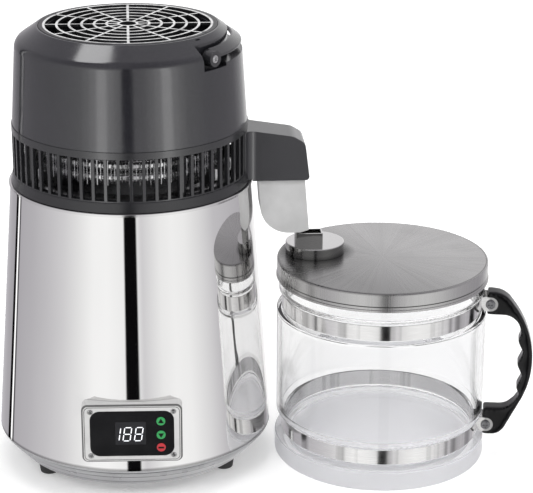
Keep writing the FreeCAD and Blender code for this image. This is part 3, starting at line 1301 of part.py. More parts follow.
def dome_pan():
    """Stainless lid of the tank: a flat flange, a standing rim and a cone up to the steam neck."""
    neck_in_r = COIL_TUBE_R + FIT_GAP
    neck_out_r = neck_in_r + SHEET
    low_z = LEDGE_TOP_Z
    rise_z = low_z + PAN_RISE
    body = turned([(neck_in_r, rise_z), (PAN_NECK_FOOT_R, rise_z), (PAN_SLOPE_R, low_z),
                   (VENT_RING_IN_R - SEAT_GAP, low_z), (VENT_RING_IN_R - SEAT_GAP, low_z + SHEET),
                   (PAN_RIM_R, low_z + SHEET), (PAN_RIM_R, low_z + PAN_RIM_H),
                   (PAN_RIM_R - SHEET, low_z + PAN_RIM_H), (PAN_RIM_R - SHEET, low_z + SHEET),
                   (PAN_SLOPE_R, low_z + SHEET), (PAN_NECK_FOOT_R, rise_z + SHEET),
                   (neck_out_r, rise_z + SHEET), (neck_out_r, rise_z + SHEET + PAN_NECK_H),
                   (neck_in_r, rise_z + SHEET + PAN_NECK_H)])
    return body.cut([post(SCREW_R + RUN_GAP, low_z, low_z + SHEET, place.x, place.y)
                     for place in pillar_places()])


# ---------------------------------------------------------------- condenser

def arc_edge(centre, axis, start, sweep):
    """Circular edge from a start point, turning by sweep degrees about an axis."""
    points = []
    for share in (0, 1 / 2, 1):
        turn = FreeCAD.Rotation(axis, sweep * share)
        points.append(centre + turn.multVec(start - centre))
    return Part.Arc(*points).toShape()


def bent_edges(points, radii):
    """Straight runs through 3-D points, with a tangent arc of the given radius at each inner point."""
    edges = []
    here = points[0]
    for index in range(1, len(points) - 1):
        corner = points[index]
        back = (points[index - 1] - corner).normalize()
        ahead = (points[index + 1] - corner).normalize()
        half = back.getAngle(ahead) / 2
        cut = radii[index - 1] / math.tan(half)
        middle_way = (back + ahead).normalize()
        middle = corner + middle_way * (radii[index - 1] / math.sin(half) - radii[index - 1])
        edges.append(Part.makeLine(here, corner + back * cut))
        edges.append(Part.Arc(corner + back * cut, middle, corner + ahead * cut).toShape())
        here = corner + ahead * cut
    edges.append(Part.makeLine(here, points[-1]))
    return edges


def tube_run(edge, outer_r, inner_r):
    """Hollow tube along one straight or circular edge."""
    start = edge.valueAt(edge.FirstParameter)
    way = edge.tangentAt(edge.FirstParameter)
    section = Part.Face(Part.Wire(Part.makeCircle(outer_r, start, way)))
    if inner_r > 0:
        section = section.cut(Part.Face(Part.Wire(Part.makeCircle(inner_r, start, way)))).Faces[0]
    if isinstance(edge.Curve, Part.Circle):
        sweep = math.degrees(edge.LastParameter - edge.FirstParameter)
        return section.revolve(edge.Curve.Center, edge.Curve.Axis, sweep)
    return section.extrude(edge.valueAt(edge.LastParameter) - start)


def coil_low_z():
    return COIL_TOP_Z - COIL_PITCH


def coil_edges():
    """Feed from the steam neck, an upper and a lower turn, then out along +X and down."""
    neck_z = LEDGE_TOP_Z + PAN_RISE + SHEET
    low_z = coil_low_z()
    join_reach = math.sqrt((COIL_R - COIL_JOIN_R) ** 2 - COIL_JOIN_R ** 2)
    join_az = math.degrees(math.asin(COIL_JOIN_R / (COIL_R - COIL_JOIN_R)))
    feed_az = COIL_UPPER_FIRST_AZ - join_az
    join_start = polar(join_reach, feed_az, COIL_TOP_Z)
    join_centre = polar(COIL_R - COIL_JOIN_R, COIL_UPPER_FIRST_AZ, COIL_TOP_Z)
    edges = bent_edges([V(0, 0, neck_z), V(0, 0, COIL_TOP_Z), join_start], [COIL_FEED_BEND_R])
    edges.append(arc_edge(join_centre, UP, join_start, 90 + join_az))
    upper_sweep = 360 + COIL_STEP_AZ - COIL_UPPER_FIRST_AZ
    edges.append(arc_edge(V(0, 0, COIL_TOP_Z), UP, polar(COIL_R, COIL_UPPER_FIRST_AZ, COIL_TOP_Z),
                          upper_sweep))
    lower_az = COIL_STEP_AZ + COIL_STEP_SWEEP
    step_start = polar(COIL_R, COIL_STEP_AZ, COIL_TOP_Z)
    step_end = polar(COIL_R, lower_az, low_z)
    lead = COIL_R * math.tan(math.radians(COIL_STEP_SWEEP / 2)) * COIL_STEP_LEAD
    step_points = [step_start, step_start + polar(lead, COIL_STEP_AZ + 90),
                   step_end - polar(lead, lower_az + 90), step_end]
    edges += bent_edges(step_points, [COIL_STEP_BEND_R, COIL_STEP_BEND_R])
    lower_sweep = 360 + COIL_EXIT_AZ - lower_az
    edges.append(arc_edge(V(0, 0, low_z), UP, step_end, lower_sweep))
    exit_point = polar(COIL_R, COIL_EXIT_AZ, low_z)
    exit_turn = 90 + COIL_EXIT_AZ
    exit_r = -exit_point.y / (1 - math.cos(math.radians(exit_turn)))
    exit_centre = exit_point + polar(exit_r, COIL_EXIT_AZ)
    edges.append(arc_edge(exit_centre, -UP, exit_point, exit_turn))
    spout_start = exit_point + V(exit_r * math.sin(math.radians(exit_turn)), -exit_point.y, 0)
    edges += bent_edges([spout_start, V(COIL_DROP_X, 0, low_z), V(COIL_DROP_X, 0, COIL_DROP_Z)],
                        [COIL_DROP_BEND_R])
    return edges


def condenser_coil():
    return fused([tube_run(edge, COIL_TUBE_R, COIL_TUBE_R - COIL_TUBE_WALL) for edge in coil_edges()])


def condenser_fins():
    plate = box(COIL_R - FIN_IN, COIL_R + FIN_OUT, -FIN_T / 2, FIN_T / 2,
                coil_low_z() - FIN_MARGIN, COIL_TOP_Z + FIN_MARGIN)
    holes = [rod(COIL_TUBE_R + FIT_GAP, V(COIL_R, -FIN_T, z), V(COIL_R, FIN_T, z))
             for z in (coil_low_z(), COIL_TOP_Z)]
    fin = plate.cut(holes)
    first = COIL_UPPER_FIRST_AZ + FIN_PITCH_AZ / 2
    count = int((360 + COIL_EXIT_AZ - FIN_PITCH_AZ - first) / FIN_PITCH_AZ)
    return group([turned_copy(fin, first + FIN_PITCH_AZ * index) for index in range(count)])


def coil_brackets():
    """Saddles that stand on the pan between two fins and carry the lower turn."""
    top_z = coil_low_z()
    saddle = box(COIL_R - BRACKET_W / 2, COIL_R + BRACKET_W / 2, -BRACKET_T / 2, BRACKET_T / 2,
                 PAN_TOP_Z, top_z)
    foot = box(COIL_R - BRACKET_W / 2, COIL_R + BRACKET_W / 2, -BRACKET_FOOT_W / 2, BRACKET_FOOT_W / 2,
               PAN_TOP_Z, PAN_TOP_Z + BRACKET_T / 2)
    lower_turn = Part.makeTorus(COIL_R, COIL_TUBE_R + FIT_GAP, V(0, 0, top_z), UP)
    bracket = saddle.fuse(foot).removeSplitter().cut(lower_turn)
    first = COIL_UPPER_FIRST_AZ + FIN_PITCH_AZ * BRACKET_FIRST_FIN
    step = FIN_PITCH_AZ * round(360 / FIN_PITCH_AZ / BRACKET_COUNT)
    return group([turned_copy(bracket, first + step * index) for index in range(BRACKET_COUNT)])


# ---------------------------------------------------------------- fan

def motor_screw_places():
    return [polar(MOTOR_SCREW_CIRCLE_R, 360 * index / MOTOR_SCREW_COUNT)
            for index in range(MOTOR_SCREW_COUNT)]


def fan_motor():
    body = turned([(0, MOTOR_LOW_Z), (MOTOR_R, MOTOR_LOW_Z, MOTOR_ROUND),
                   (MOTOR_R, MOTOR_TOP_Z), (0, MOTOR_TOP_Z)])
    shaft = post(MOTOR_SHAFT_R, MOTOR_TOP_Z, FAN_LOW_Z + FAN_H - FAN_HUB_WALL * 2)
    holes = [post(SCREW_R + RUN_GAP, MOTOR_TOP_Z - MOTOR_SCREW_REACH, MOTOR_TOP_Z, place.x, place.y)
             for place in motor_screw_places()]
    return body.fuse(shaft).cut(holes)


def motor_screws():
    screw = pan_head(SCREW_HEAD_R, SCREW_HEAD_H, SCREW_R,
                     FAN_BRACKET_T + MOTOR_SCREW_REACH - SCREW_END_GAP)
    return group([moved_copy(screw, place.x, place.y, FAN_BRACKET_TOP_Z) for place in motor_screw_places()])


def fan_bracket():
    hub = post(FAN_BRACKET_HUB_R, MOTOR_TOP_Z, FAN_BRACKET_TOP_Z)
    arm_end = FAN_BOSS_CIRCLE_R + FAN_ARM_W / 2
    end_r = FAN_ARM_W / 2 - FIT_GAP
    arm = plate_z([(0, -FAN_ARM_W / 2), (arm_end, -FAN_ARM_W / 2, end_r),
                   (arm_end, FAN_ARM_W / 2, end_r), (0, FAN_ARM_W / 2)],
                  MOTOR_TOP_Z, FAN_BRACKET_TOP_Z)
    body = fused([hub] + circle_of(arm, FAN_ARM_COUNT, FAN_ARM_FIRST_AZ))
    places = fan_boss_places() + motor_screw_places()
    holes = [post(SCREW_R + RUN_GAP, MOTOR_TOP_Z, FAN_BRACKET_TOP_Z, place.x, place.y) for place in places]
    return body.cut([post(FAN_BRACKET_HOLE_R, MOTOR_TOP_Z, FAN_BRACKET_TOP_Z)] + holes)


def bracket_screws():
    screw = pan_head(SCREW_HEAD_R, SCREW_HEAD_H, SCREW_R,
                     FAN_BRACKET_T + FAN_SCREW_REACH - SCREW_END_GAP)
    return group([laid(screw, V(place.x, place.y, MOTOR_TOP_Z), -UP) for place in fan_boss_places()])


def fan_rotor():
    top_z = FAN_LOW_Z + FAN_H
    cup_in_r = FAN_HUB_R - FAN_HUB_WALL
    cup_in_z = top_z - FAN_HUB_WALL
    cup = turned([(cup_in_r, FAN_LOW_Z), (FAN_HUB_R, FAN_LOW_Z), (FAN_HUB_R, top_z, FAN_HUB_WALL),
                  (0, top_z), (0, cup_in_z), (cup_in_r, cup_in_z)])
    boss = post(FAN_CORE_R, FAN_LOW_Z, cup_in_z)
    chord = (FAN_H - FAN_HUB_WALL * 2) / math.sin(math.radians(BLADE_ANGLE))
    blade = box(0, FAN_R, -chord / 2, chord / 2, -BLADE_T / 2, BLADE_T / 2)
    blade.rotate(ORIGIN, V(1, 0, 0), BLADE_ANGLE)
    blade.translate(V(0, 0, FAN_LOW_Z + FAN_H / 2))
    swept = ring(FAN_R, FAN_HUB_R - FAN_HUB_WALL / 2, FAN_LOW_Z, top_z)
    blades = [shape.common(swept) for shape in circle_of(blade, BLADE_COUNT)]
    bore = post(MOTOR_SHAFT_R + RUN_GAP, FAN_LOW_Z, cup_in_z)
    return fused([cup, boss] + blades).cut(bore)


# ---------------------------------------------------------------- grille and carry handle

def grille_screw_places():
    radius = GRILLE_R - GRILLE_RING_W / 2
    return [polar(radius, azimuth) for azimuth in (GRILLE_SCREW_AZ, GRILLE_SCREW_AZ + 180)]


def fan_grille():
    edge = turned([(GRILLE_R - GRILLE_RING_W, GRILLE_SEAT_Z), (GRILLE_R, GRILLE_SEAT_Z),
                   (GRILLE_R, DOME_TOP_Z, GRILLE_EDGE_R),
                   (GRILLE_R - GRILLE_RING_W, DOME_TOP_Z, FINE_EDGE_R)])
    bar_top_z = DOME_TOP_Z - GRILLE_BAR_DROP
    bar_low_z = bar_top_z - GRILLE_BAR_T
    bars = []
    for index in range(GRILLE_RING_COUNT):
        middle_r = GRILLE_FIRST_RING_R + GRILLE_RING_PITCH * index
        bars.append(ring(middle_r + GRILLE_BAR_W / 2, middle_r - GRILLE_BAR_W / 2, bar_low_z, bar_top_z))
    bars.append(ring(GRILLE_HUB_R, GRILLE_HUB_HOLE_R, bar_low_z, bar_top_z))
    spoke = box((GRILLE_HUB_R + GRILLE_HUB_HOLE_R) / 2, GRILLE_R - GRILLE_RING_W / 2,
                -GRILLE_BAR_W / 2, GRILLE_BAR_W / 2, bar_low_z, bar_top_z)
    bars += circle_of(spoke, SPOKE_COUNT)
    holes = []
    for place in grille_screw_places():
        holes.append(post(GRILLE_SCREW_R + RUN_GAP, GRILLE_SEAT_Z, DOME_TOP_Z, place.x, place.y))
        holes.append(post(GRILLE_SCREW_HEAD_R + FIT_GAP, DOME_TOP_Z - GRILLE_SCREW_HEAD_H, DOME_TOP_Z,
                          place.x, place.y))
    return fused([edge] + bars).cut(holes)


def grille_screws():
    screw = pan_head(GRILLE_SCREW_HEAD_R, GRILLE_SCREW_HEAD_H, GRILLE_SCREW_R, GRILLE_SCREW_LENGTH)
    return group([moved_copy(screw, place.x, place.y, DOME_TOP_Z - GRILLE_SCREW_HEAD_H)
                  for place in grille_screw_places()])


def handle_section():
    return [(HANDLE_IN_R, HANDLE_IN_Z - HANDLE_IN_T, HANDLE_EDGE_R),
            (HANDLE_OUT_R, HANDLE_OUT_Z - HANDLE_OUT_T, HANDLE_EDGE_R),
            (HANDLE_OUT_R, HANDLE_OUT_Z, HANDLE_EDGE_R), (HANDLE_IN_R, HANDLE_IN_Z, HANDLE_EDGE_R)]


def carry_handle():
    return turned(handle_section(), PIVOT_AZ + HANDLE_END_AZ, 180 - 2 * HANDLE_END_AZ)


def handle_bosses():
    head_sink = HANDLE_SCREW_HEAD_H + FIT_GAP
    bosses = []
    for azimuth, side in ((PIVOT_AZ, 1), (PIVOT_AZ + 180, -1)):
        barrel = rod(HANDLE_BOSS_R, polar(HANDLE_IN_R, azimuth, PIVOT_Z),
                     polar(HANDLE_OUT_R, azimuth, PIVOT_Z))
        neck = turned(handle_section(), min(azimuth, azimuth + side * HANDLE_END_AZ), HANDLE_END_AZ)
        bore = rod(HANDLE_SCREW_R + RUN_GAP, polar(RECESS_R, azimuth, PIVOT_Z),
                   polar(COVER_LOW_R, azimuth, PIVOT_Z))
        sink = rod(HANDLE_SCREW_HEAD_R + FIT_GAP, polar(HANDLE_OUT_R - head_sink, azimuth, PIVOT_Z),
                   polar(COVER_LOW_R, azimuth, PIVOT_Z))
        bosses.append(barrel.fuse(neck).removeSplitter().cut([bore, sink]))
    return group(bosses)


def handle_pivots():
    """Shoulder screws through the handle's ends, each with a spacer sleeve against the dome."""
    pivots = []
    for azimuth in (PIVOT_AZ, PIVOT_AZ + 180):
        outward = polar(1, azimuth)
        head = turned([(0, 0), (HANDLE_SCREW_HEAD_R, 0),
                       (HANDLE_SCREW_HEAD_R, HANDLE_SCREW_HEAD_H, FINE_EDGE_R), (0, HANDLE_SCREW_HEAD_H)])
        socket = moved_copy(hexagon(HANDLE_SOCKET_R, HANDLE_SCREW_HEAD_H), 0, 0, HANDLE_SCREW_HEAD_H / 2)
        reach = HANDLE_OUT_R - HANDLE_SCREW_HEAD_H - (RECESS_R - PIVOT_BLOCK_DEPTH) - SCREW_END_GAP
        sleeve = ring(HANDLE_SCREW_R + HANDLE_SLEEVE_T, HANDLE_SCREW_R, 0, HANDLE_IN_R - RECESS_R - FIT_GAP)
        sleeve.translate(UP * (RECESS_R - HANDLE_OUT_R + HANDLE_SCREW_HEAD_H))
        screw = head.fuse([post(HANDLE_SCREW_R, -reach, 0), sleeve]).cut(socket)
        pivots.append(laid(screw, polar(HANDLE_OUT_R - HANDLE_SCREW_HEAD_H, azimuth, PIVOT_Z), outward))
    return group(pivots)


# ---------------------------------------------------------------- carafe

def on_carafe(shape, azimuth=0.0):
    """A piece drawn round the Z axis with its handle side along +X, moved to the carafe's place."""
    copy = turned_copy(shape, azimuth)
    copy.translate(CARAFE_AXIS)
    return copy


def glass_jar():
    groove_r = STRAP_R - STRAP_T - FIT_GAP
    margin = JAR_GROOVE_MARGIN
    low = LOWER_STRAP_Z
    high = UPPER_STRAP_Z
    groove_in_r = groove_r - JAR_WALL
    body_in_r = JAR_R - JAR_WALL
    neck_in_r = JAR_NECK_R - JAR_WALL
    outer = [(0, JAR_BASE_DISH), (JAR_BASE_RING_R, JAR_BASE_DISH), (JAR_BASE_RING_R + JAR_BASE_STEP, 0),
             (JAR_FOOT_R, 0, JAR_FOOT_EDGE_R), (JAR_FOOT_R, JAR_FOOT_H, JAR_FOOT_EDGE_R),
             (groove_r, low - margin), (groove_r, low + STRAP_H + margin, JAR_GROOVE_EDGE_R),
             (JAR_R, low + STRAP_H + 3 * margin, JAR_EDGE_R), (JAR_R, high - 2 * margin, EDGE_R),
             (groove_r, high - margin, JAR_GROOVE_EDGE_R),
             (groove_r, high + STRAP_H + margin, JAR_GROOVE_EDGE_R),
             (JAR_NECK_R, high + STRAP_H + 2 * margin, EDGE_R), (JAR_NECK_R, JAR_TOP_Z, JAR_EDGE_R)]
    inner = [(neck_in_r, JAR_TOP_Z, JAR_EDGE_R), (neck_in_r, high + STRAP_H + 4 * margin, JAR_BEND_R),
             (groove_in_r, high + STRAP_H + margin, JAR_GROOVE_BEND_R),
             (groove_in_r, high - margin, JAR_GROOVE_BEND_R), (body_in_r, high - 5 * margin, JAR_BEND_R),
             (body_in_r, low + STRAP_H + 6 * margin, JAR_BEND_R),
             (groove_in_r, low + STRAP_H + margin, JAR_BEND_R),
             (groove_in_r, JAR_FLOOR_Z, JAR_INNER_CORNER_R), (0, JAR_FLOOR_Z)]
    return on_carafe(turned(outer + inner))


def lug_gap():
    return GRIP_W / 2 + FIT_GAP


def strap(z_low):
    """Steel strap round the jar with two lugs that hold the handle between them."""
    z_high = z_low + STRAP_H
    band = ring(STRAP_R, STRAP_R - STRAP_T, z_low, z_high)
    lug_end_r = STRAP_H / 2 - FIT_GAP
    lug_root_r = STRAP_R - STRAP_LUG_ROOT
    outline = [(lug_root_r, z_low), (STRAP_LUG_REACH, z_low, lug_end_r),
               (STRAP_LUG_REACH, z_high, lug_end_r), (lug_root_r, z_high)]
    lugs = [plate_y(outline, y_low, y_low + STRAP_T) for y_low in (lug_gap(), -lug_gap() - STRAP_T)]
    inside = post(STRAP_R - STRAP_T, z_low, z_high)
    hole = rod(BOLT_R + RUN_GAP, V(BOLT_RHO, -GRIP_W, z_low + STRAP_H / 2),
               V(BOLT_RHO, GRIP_W, z_low + STRAP_H / 2))
    return on_carafe(fused([band] + [lug.cut(inside) for lug in lugs]).cut(hole), HANDLE_AZ)


def upper_strap():
    return strap(UPPER_STRAP_Z)


def lower_strap():
    return strap(LOWER_STRAP_Z)


def carafe_handle():
    low_z = LOWER_STRAP_Z - GRIP_BEYOND_STRAP
    top_z = UPPER_STRAP_Z + STRAP_H + GRIP_BEYOND_STRAP
    height = top_z - low_z
    root = GRIP_IN_R - GRIP_TOOTH
    outer = [(root, low_z), (GRIP_REACH - GRIP_LOW_RUN, low_z, GRIP_LOW_CORNER_R),
             (GRIP_REACH, low_z + height * GRIP_LOW_SHARE, height * GRIP_BACK_SHARE),
             (GRIP_REACH, top_z - height * GRIP_TOP_SHARE, height * GRIP_BACK_SHARE),
             (GRIP_REACH - GRIP_TOP_RUN, top_z, GRIP_TOP_CORNER_R), (root, top_z)]
    high_side_z = UPPER_STRAP_Z - GRIP_BEYOND_STRAP
    low_side_z = LOWER_STRAP_Z + STRAP_H + GRIP_ARM_ROOT
    span = high_side_z - low_side_z
    valley_r = GRIP_REACH - GRIP_DEPTH
    tooth_r = valley_r - GRIP_TOOTH
    inner = [(root, high_side_z), (valley_r - GRIP_THROAT_RUN, high_side_z, GRIP_THROAT_R),
             (valley_r - GRIP_TOOTH / 2, high_side_z - span * GRIP_THROAT_SHARE, GRIP_VALLEY_R)]
    for index in range(GRIP_TEETH):
        tooth_z = high_side_z - span * (GRIP_FIRST_TOOTH_SHARE + GRIP_TOOTH_PITCH_SHARE * index)
        inner.append((tooth_r, tooth_z, GRIP_TOOTH_R))
        if index < GRIP_TEETH - 1:
            inner.append((valley_r, tooth_z - span * GRIP_TOOTH_PITCH_SHARE / 2, GRIP_VALLEY_R))
    inner += [(valley_r - GRIP_TOOTH / 3, (tooth_z * 2 + low_side_z) / 3, GRIP_TOOTH_R),
              (tooth_r - GRIP_TOOTH / 4, (tooth_z + low_side_z * 2) / 3, GRIP_TOOTH_R),
              (valley_r - GRIP_FOOT_RUN, low_side_z, GRIP_FOOT_R), (root, low_side_z)]
    body = plate_y(outer + inner, -GRIP_W / 2, GRIP_W / 2)
    cutters = [post(GRIP_IN_R, 0, LID_TOP_Z)]
    for z_low in (LOWER_STRAP_Z, UPPER_STRAP_Z):
        cutters.append(rod(BOLT_R + RUN_GAP, V(BOLT_RHO, -GRIP_W, z_low + STRAP_H / 2),
                           V(BOLT_RHO, GRIP_W, z_low + STRAP_H / 2)))
    return on_carafe(body.cut(cutters), HANDLE_AZ)


def bolt_seats():
    return [V(BOLT_RHO, 0, z_low + STRAP_H / 2) for z_low in (LOWER_STRAP_Z, UPPER_STRAP_Z)]


def handle_bolts():
    seat = lug_gap() + STRAP_T
    bolt = pan_head(BOLT_HEAD_R, BOLT_HEAD_H, BOLT_R, 2 * seat + BOLT_NUT_T + BOLT_END)
    bolts = [laid(bolt, place - V(0, seat, 0), V(0, -1, 0)) for place in bolt_seats()]
    return on_carafe(group(bolts), HANDLE_AZ)


def handle_nuts():
    seat = lug_gap() + STRAP_T
    lock = nut(BOLT_HEAD_R, BOLT_R + RUN_GAP, BOLT_NUT_T)
    locks = [laid(lock, place + V(0, seat, 0), V(0, 1, 0)) for place in bolt_seats()]
    return on_carafe(group(locks), HANDLE_AZ)


def on_inlet(shape):
    copy = shape.copy()
    copy.translate(V(INLET_X, INLET_Y, 0))
    return copy


def jar_lid():
    under_z = LID_TOP_Z - SHEET
    bead_low_z = LID_SKIRT_LOW_Z - LID_BEAD_H
    shell = turned([(0, under_z), (LID_R - SHEET, under_z), (LID_R - SHEET, bead_low_z),
                    (LID_BEAD_R, bead_low_z, LID_BEAD_ROUND),
                    (LID_BEAD_R, LID_SKIRT_LOW_Z, LID_BEAD_ROUND),
                    (LID_R, LID_SKIRT_LOW_Z), (LID_R, LID_TOP_Z, LID_EDGE_R), (0, LID_TOP_Z)])
    return on_carafe(shell).cut(on_inlet(post(CAP_PLUG_R + CAP_RUN_GAP, under_z, LID_TOP_Z)))


def lid_seal():
    return on_carafe(ring(SEAL_OUT_R, SEAL_IN_R, JAR_TOP_Z + SEAT_GAP, LID_TOP_Z - SHEET))


def inlet_cap():
    low_z = LID_TOP_Z + FIT_GAP
    under_z = CAP_TOP_Z - COLLAR_WALL
    disc = turned([(CAP_PLUG_R, low_z), (CAP_R, low_z), (CAP_R, CAP_TOP_Z, CAP_EDGE_R), (0, CAP_TOP_Z),
                   (0, under_z), (CAP_R - COLLAR_WALL, under_z), (CAP_R - COLLAR_WALL, low_z + COLLAR_WALL),
                   (CAP_PLUG_R, low_z + COLLAR_WALL)])
    plug = ring(CAP_PLUG_R, CAP_PLUG_R - COLLAR_WALL, cap_ring_low_z(), under_z)
    outline = rectangle(COLLAR_W, COLLAR_D, EDGE_R, COLLAR_SHIFT_X)
    hollow = rectangle(COLLAR_W - 2 * COLLAR_WALL, COLLAR_D - 2 * COLLAR_WALL, FINE_EDGE_R, COLLAR_SHIFT_X)
    collar = plate_z(outline, under_z, CAP_TOP_Z + COLLAR_H)
    slot = plate_z(hollow, under_z, CAP_TOP_Z + COLLAR_H)
    return on_inlet(fused([disc, plug, collar]).cut(slot))


def cap_ring_low_z():
    return LID_TOP_Z - SHEET - FIT_GAP - CAP_RING_T


def cap_ring():
    return on_inlet(ring(CAP_RING_R, CAP_PLUG_R + RUN_GAP, cap_ring_low_z(), cap_ring_low_z() + CAP_RING_T))


# ---------------------------------------------------------------- all nodes

NODES = {
    "outer_casing": outer_casing,
    "base_ring": base_ring,
    "base_plate": base_plate,
    "feet": feet,
    "foot_screws": foot_screws,
    "boiling_tank": boiling_tank,
    "heater_plate": heater_plate,
    "heating_element": heating_element,
    "heater_clamp": heater_clamp,
    "clamp_fasteners": clamp_fasteners,
    "thermostats": thermostats,
    "thermal_fuse": thermal_fuse,
    "board_standoffs": board_standoffs,
    "control_board": control_board,
    "panel_housing": panel_housing,
    "panel_face": panel_face,
    "display_module": display_module,
    "key_board": key_board,
    "up_button": lambda: button("up_button"),
    "down_button": lambda: button("down_button"),
    "power_button": lambda: button("power_button"),
    "panel_screws": panel_screws,
    "power_inlet": power_inlet,
    "inlet_pins": inlet_pins,
    "inlet_screws": inlet_screws,
    "fan_outlet": fan_outlet,
    "dome_cover": dome_cover,
    "vent_ring": vent_ring,
    "dome_band": dome_band,
    "tank_gasket": tank_gasket,
    "dome_pan": dome_pan,
    "dome_screws": dome_screws,
    "condenser_coil": condenser_coil,
    "condenser_fins": condenser_fins,
    "coil_brackets": coil_brackets,
    "fan_motor": fan_motor,
    "motor_screws": motor_screws,
    "fan_bracket": fan_bracket,
    "bracket_screws": bracket_screws,
    "fan_rotor": fan_rotor,
    "fan_grille": fan_grille,
    "grille_screws": grille_screws,
    "carry_handle": carry_handle,
    "handle_bosses": handle_bosses,
    "handle_pivots": handle_pivots,
    "fan_inlet": fan_inlet,
    "spout_housing": spout_housing,
    "filter_nozzle": filter_nozzle,
    "carbon_sachet": carbon_sachet,
    "glass_jar": glass_jar,
    "upper_strap": upper_strap,
    "lower_strap": lower_strap,
    "carafe_handle": carafe_handle,
    "handle_bolts": handle_bolts,
    "handle_nuts": handle_nuts,
    "jar_lid": jar_lid,
    "lid_seal": lid_seal,
    "inlet_cap": inlet_cap,
    "cap_ring": cap_ring,
}


def main():
    os.makedirs("parts", exist_ok=True)
    for name, make in NODES.items():
        make().exportStep(f"parts/{name}.step")


main()
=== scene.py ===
"""Glass water distiller with its glass carafe: finishes, small pieces, studio and camera."""

import math

import bmesh
import bpy
from mathutils import Matrix, Vector


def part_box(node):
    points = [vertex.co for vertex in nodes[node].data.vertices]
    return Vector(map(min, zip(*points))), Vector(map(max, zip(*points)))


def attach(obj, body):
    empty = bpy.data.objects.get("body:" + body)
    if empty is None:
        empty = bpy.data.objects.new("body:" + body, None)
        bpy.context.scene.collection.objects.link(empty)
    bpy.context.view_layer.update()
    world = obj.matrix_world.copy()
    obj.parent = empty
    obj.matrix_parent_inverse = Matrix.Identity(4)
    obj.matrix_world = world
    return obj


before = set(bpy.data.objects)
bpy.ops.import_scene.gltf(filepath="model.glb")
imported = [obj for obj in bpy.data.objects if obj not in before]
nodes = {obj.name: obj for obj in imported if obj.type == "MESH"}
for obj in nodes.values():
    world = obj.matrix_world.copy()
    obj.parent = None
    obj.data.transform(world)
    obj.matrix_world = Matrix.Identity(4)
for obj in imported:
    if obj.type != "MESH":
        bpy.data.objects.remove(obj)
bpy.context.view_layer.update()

MM = 0.001

# ---------------------------------------------------------------- places on the object, in metres


def middle(node):
    """Middle of a node's box."""
    low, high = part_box(node)
    return (Vector(low) + Vector(high)) / 2


def half_width(node):
    """Radius of a round node, from its box."""
    low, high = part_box(node)
    return (high[0] - low[0]) / 2


def bottom(node):
    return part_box(node)[0][2]


def top(node):
    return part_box(node)[1][2]


CARAFE = tuple(middle("jar_lid"))[:2]           # upright axis of the jar, its lid and its straps
LUG_FROM_R = half_width("glass_jar") + 0.0001   # a strap's lugs stand outside this radius
JAR_CLEAR_Z = 0.0195                            # clear glass from here up
JAR_FROSTED_Z = 0.0165                          # frosted foot from here down

LID_HEM_SHADE_Z = bottom("jar_lid") + 0.0046         # painted shade line at the hem around the skirt
LID_SKIRT_TOP_Z = top("jar_lid") - 0.0011
LID_RIM_SHADE_R = half_width("jar_lid") - 0.0018      # outside of the painted shade line in the rounded rim
LID_RIM_SHADE_WIDTH = 0.0007
LID_SHADE_AZ = 222                              # side of the lid's top that is shaded, in degrees
LID_SHADE_FROM, LID_SHADE_TO = -0.03, 0.06      # run of that shade across the lid's middle
CAP_SHADE_WIDTH = 0.010                         # painted shadow: a dark ring on the lid around the cap

CASING_FOOT_SHADE = 0.0010                             # painted shade at the casing's foot, full up to this height, and where it ends
CASING_FOOT_SHADE_END = 0.0026
BASE_SHADE_LINES = (0.0045, 0.0115, 0.0162)         # heights of painted shade lines around the base ring, above its foot
# painted shade covers the grille's outer rim outside this radius
GRILLE_RIM_SHADE_R = half_width("fan_grille") - 0.0037

# Depths of relief
FINE, SLIGHT, ROUGH, WAVE = 0.00001, 0.00002, 0.00003, 0.0002

# ---------------------------------------------------------------- material helpers


def shaded(colour, share):
    """The colour times a share, no brighter than white."""
    return tuple(min(1.0, channel * share) for channel in colour)


